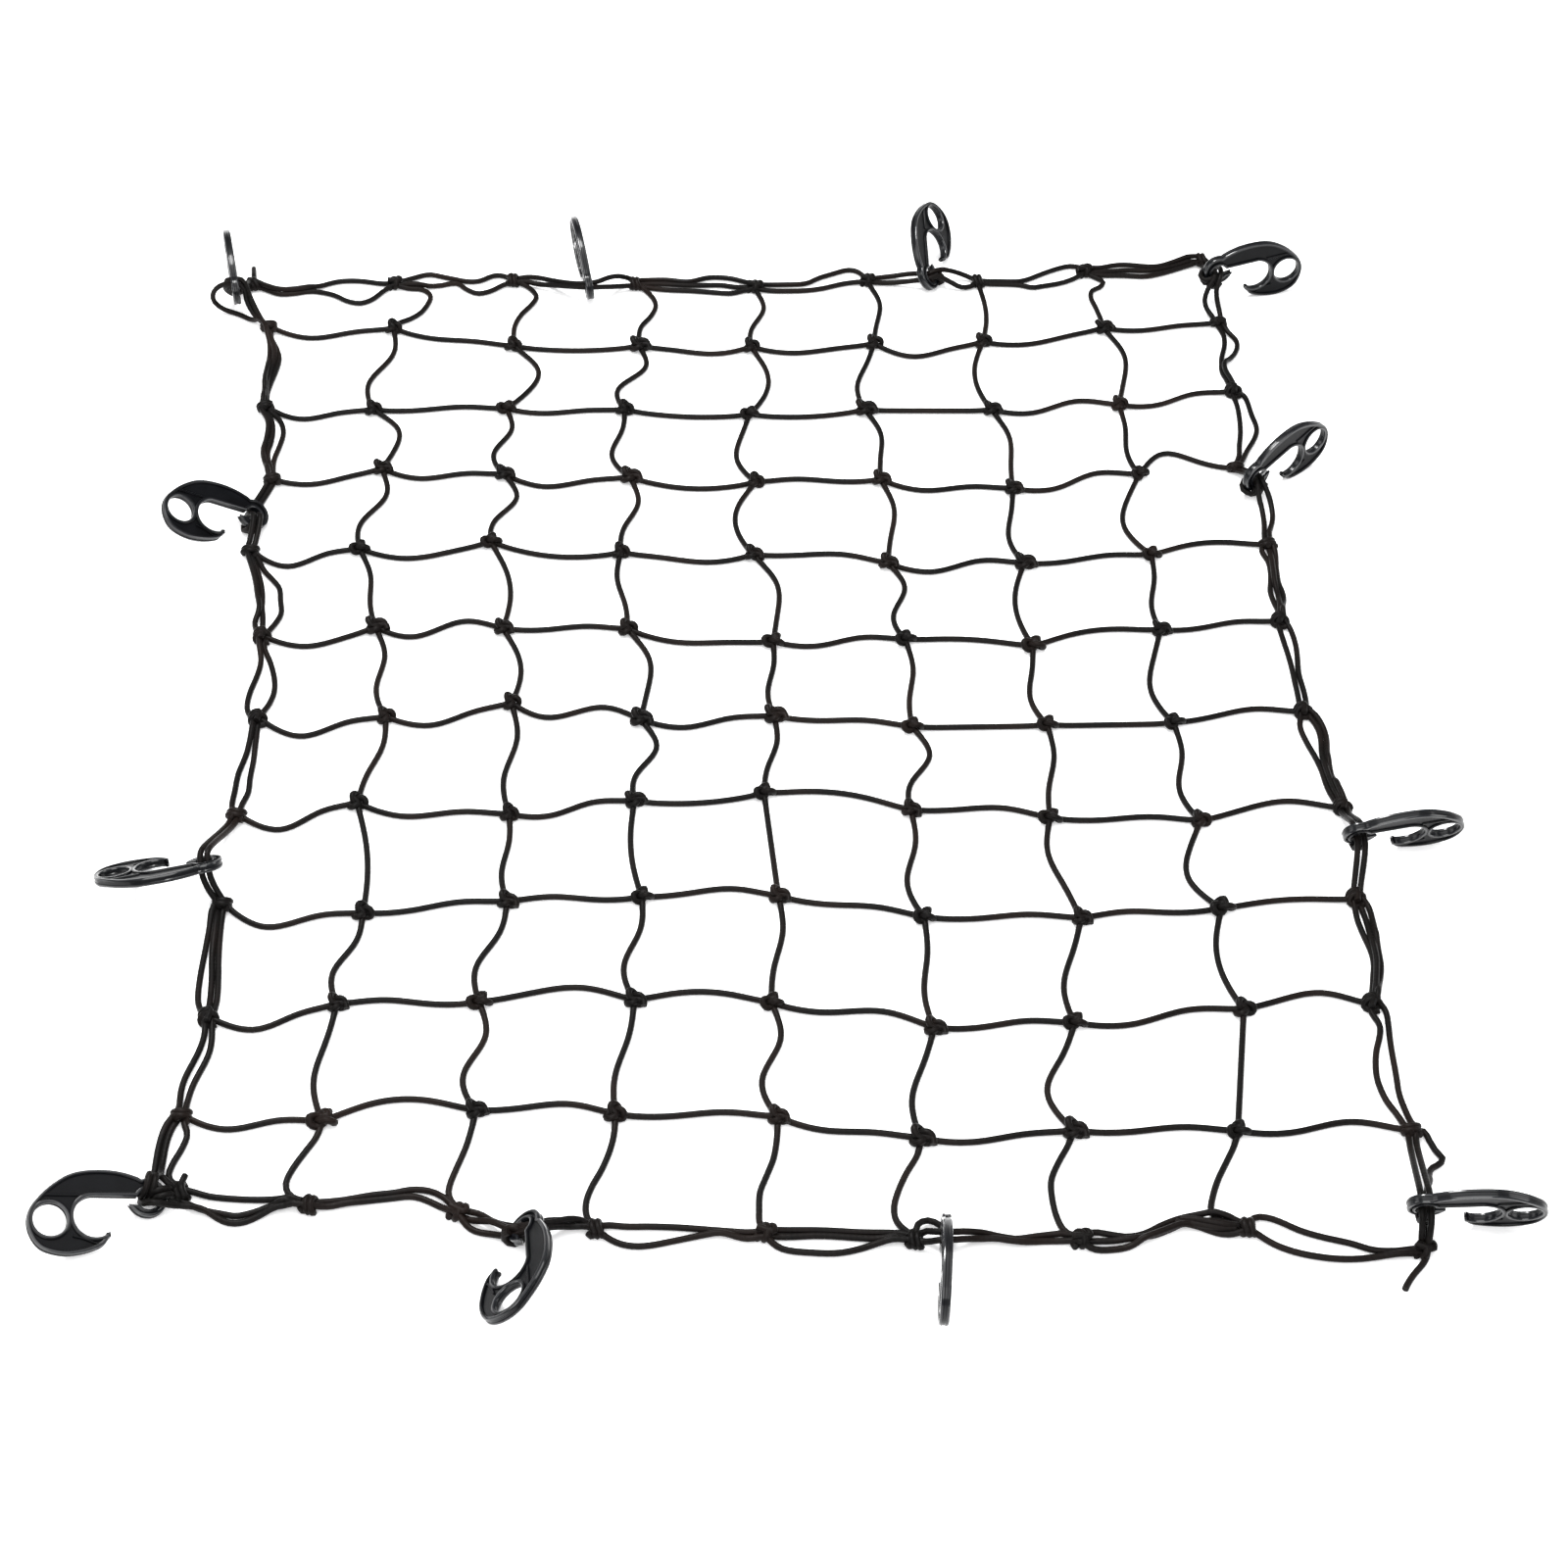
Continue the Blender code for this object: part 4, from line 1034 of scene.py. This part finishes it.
def makeHookMesh():
    bm = bmesh.new()
    bm.verts.layers.float.new("edgeWear")
    outline = hookOutline(4)
    fx, fy, fr = hookShape["finger"]
    finger = arc(fx, fy, fr, 0, 352.5, 48)
    normals = outwardNormals(outline)
    lap = hookShape["panelLap"]
    inset = [(x - n.x * lap, y - n.y * lap) for (x, y), n in zip(outline, normals)]
    addPlate(bm, [inset, arc(fx, fy, fr + lap, 0, 350, 36)], hookShape["panelThick"] / 2)
    addRim(bm, outline, rimProfile)
    addRim(bm, finger, rimProfile, -1)
    for line, wide, top in ribs:
        addRib(bm, line, wide, top)
    bmesh.ops.recalc_face_normals(bm, faces=bm.faces)
    mesh = bpy.data.meshes.new("hookShape")
    bm.to_mesh(mesh)
    bm.free()
    return mesh


def placeHooks():
    shape = makeHookMesh()
    print("hook faces:", len(shape.polygons))
    for n, hook in enumerate(hooks):
        shank, back, normal = hookFrame(hook)
        corner = inFrame(hook["eye"] - shank * eyeX - back * eyeY)
        turn = Matrix((shank, back, normal)).transposed().to_4x4()
        mesh = shape.copy()
        mesh.name = "hook_piece_%02d" % (n + 1)
        mesh.transform(Matrix.Translation(corner) @ turn @ Matrix.Scale(0.001, 4))
        mesh.materials.append(mouldedNylon)
        mesh.shade_smooth()
        mesh.set_sharp_from_angle(angle=radians(38))
        piece = linked(mesh.name, mesh)
        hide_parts("hook_%02d" % (n + 1))
        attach(piece, "root")


placeHooks()
print("hooks placed")


# floor, light and camera
floorReach, floorHeight = 9, -0.0004      # in metres
floorMesh = bpy.data.meshes.new("floor")
floorMesh.from_pydata([(x * floorReach, y * floorReach, floorHeight)
                       for x, y in ((-1, -1), (1, -1), (1, 1), (-1, 1))], [], [(0, 1, 2, 3)])
floorMesh.materials.append(makeFloorMaterial())
floor = linked("floor", floorMesh)

skyStrength = 0.30
lamps = {       # power in watts, size and place in metres
    "above": (72.0, 3.0, (0.0, -0.35, 3.1)),
    "behind": (115.0, 0.9, (-0.7, 1.0, 3.0)),
    "front": (105.0, 2.6, (-0.3, -3.0, 2.6)),
    "left": (36.0, 1.6, (-3.0, -0.2, 1.7)),
    "right": (36.0, 1.6, (3.0, -0.2, 1.7))}
world = bpy.data.worlds.new("softSky")
bpy.context.scene.world = world
world.use_nodes = True
world.node_tree.nodes["Background"].inputs["Color"].default_value = (1.0, 1.0, 1.0, 1)
world.node_tree.nodes["Background"].inputs["Strength"].default_value = skyStrength


def addLight(name, power, size, place):
    light = bpy.data.lights.new(name, "AREA")
    light.energy, light.size, light.shape = power, size, "SQUARE"
    lamp = linked(name, light)
    lamp.location = place
    lamp.rotation_euler = (-Vector(place)).to_track_quat("-Z", "Y").to_euler()


for name, (power, size, place) in lamps.items():
    addLight(name, power, size, place)

# where the photo's camera stood, in metres and radians, from a fit on the knots
cameraSizes = {"target": (0.00214, -0.11459, 0.0), "distance": 2.7062, "elevation": 0.74822, "yaw": -0.06413,
               "roll": 0.04599, "lens": 75.997, "sensor": 36.0}


def addCamera():
    up, yaw, roll = (cameraSizes[k] for k in ("elevation", "yaw", "roll"))
    away = Vector((sin(yaw) * cos(up), -cos(yaw) * cos(up), sin(up)))
    right = Vector((cos(yaw), sin(yaw), 0.0))
    above = away.cross(right)
    level = right * cos(roll) + above * sin(roll)
    upright = above * cos(roll) - right * sin(roll)
    data = bpy.data.cameras.new("camera")
    data.lens, data.sensor_width, data.sensor_fit = cameraSizes["lens"], cameraSizes["sensor"], "HORIZONTAL"
    camera = linked("camera", data)
    place = Vector(cameraSizes["target"]) + away * cameraSizes["distance"]
    camera.matrix_world = Matrix.Translation(place) @ Matrix((level, upright, away)).transposed().to_4x4()
    bpy.context.scene.camera = camera


addCamera()
bpy.context.scene.view_settings.view_transform = "Standard"
print("floor, light and camera set")
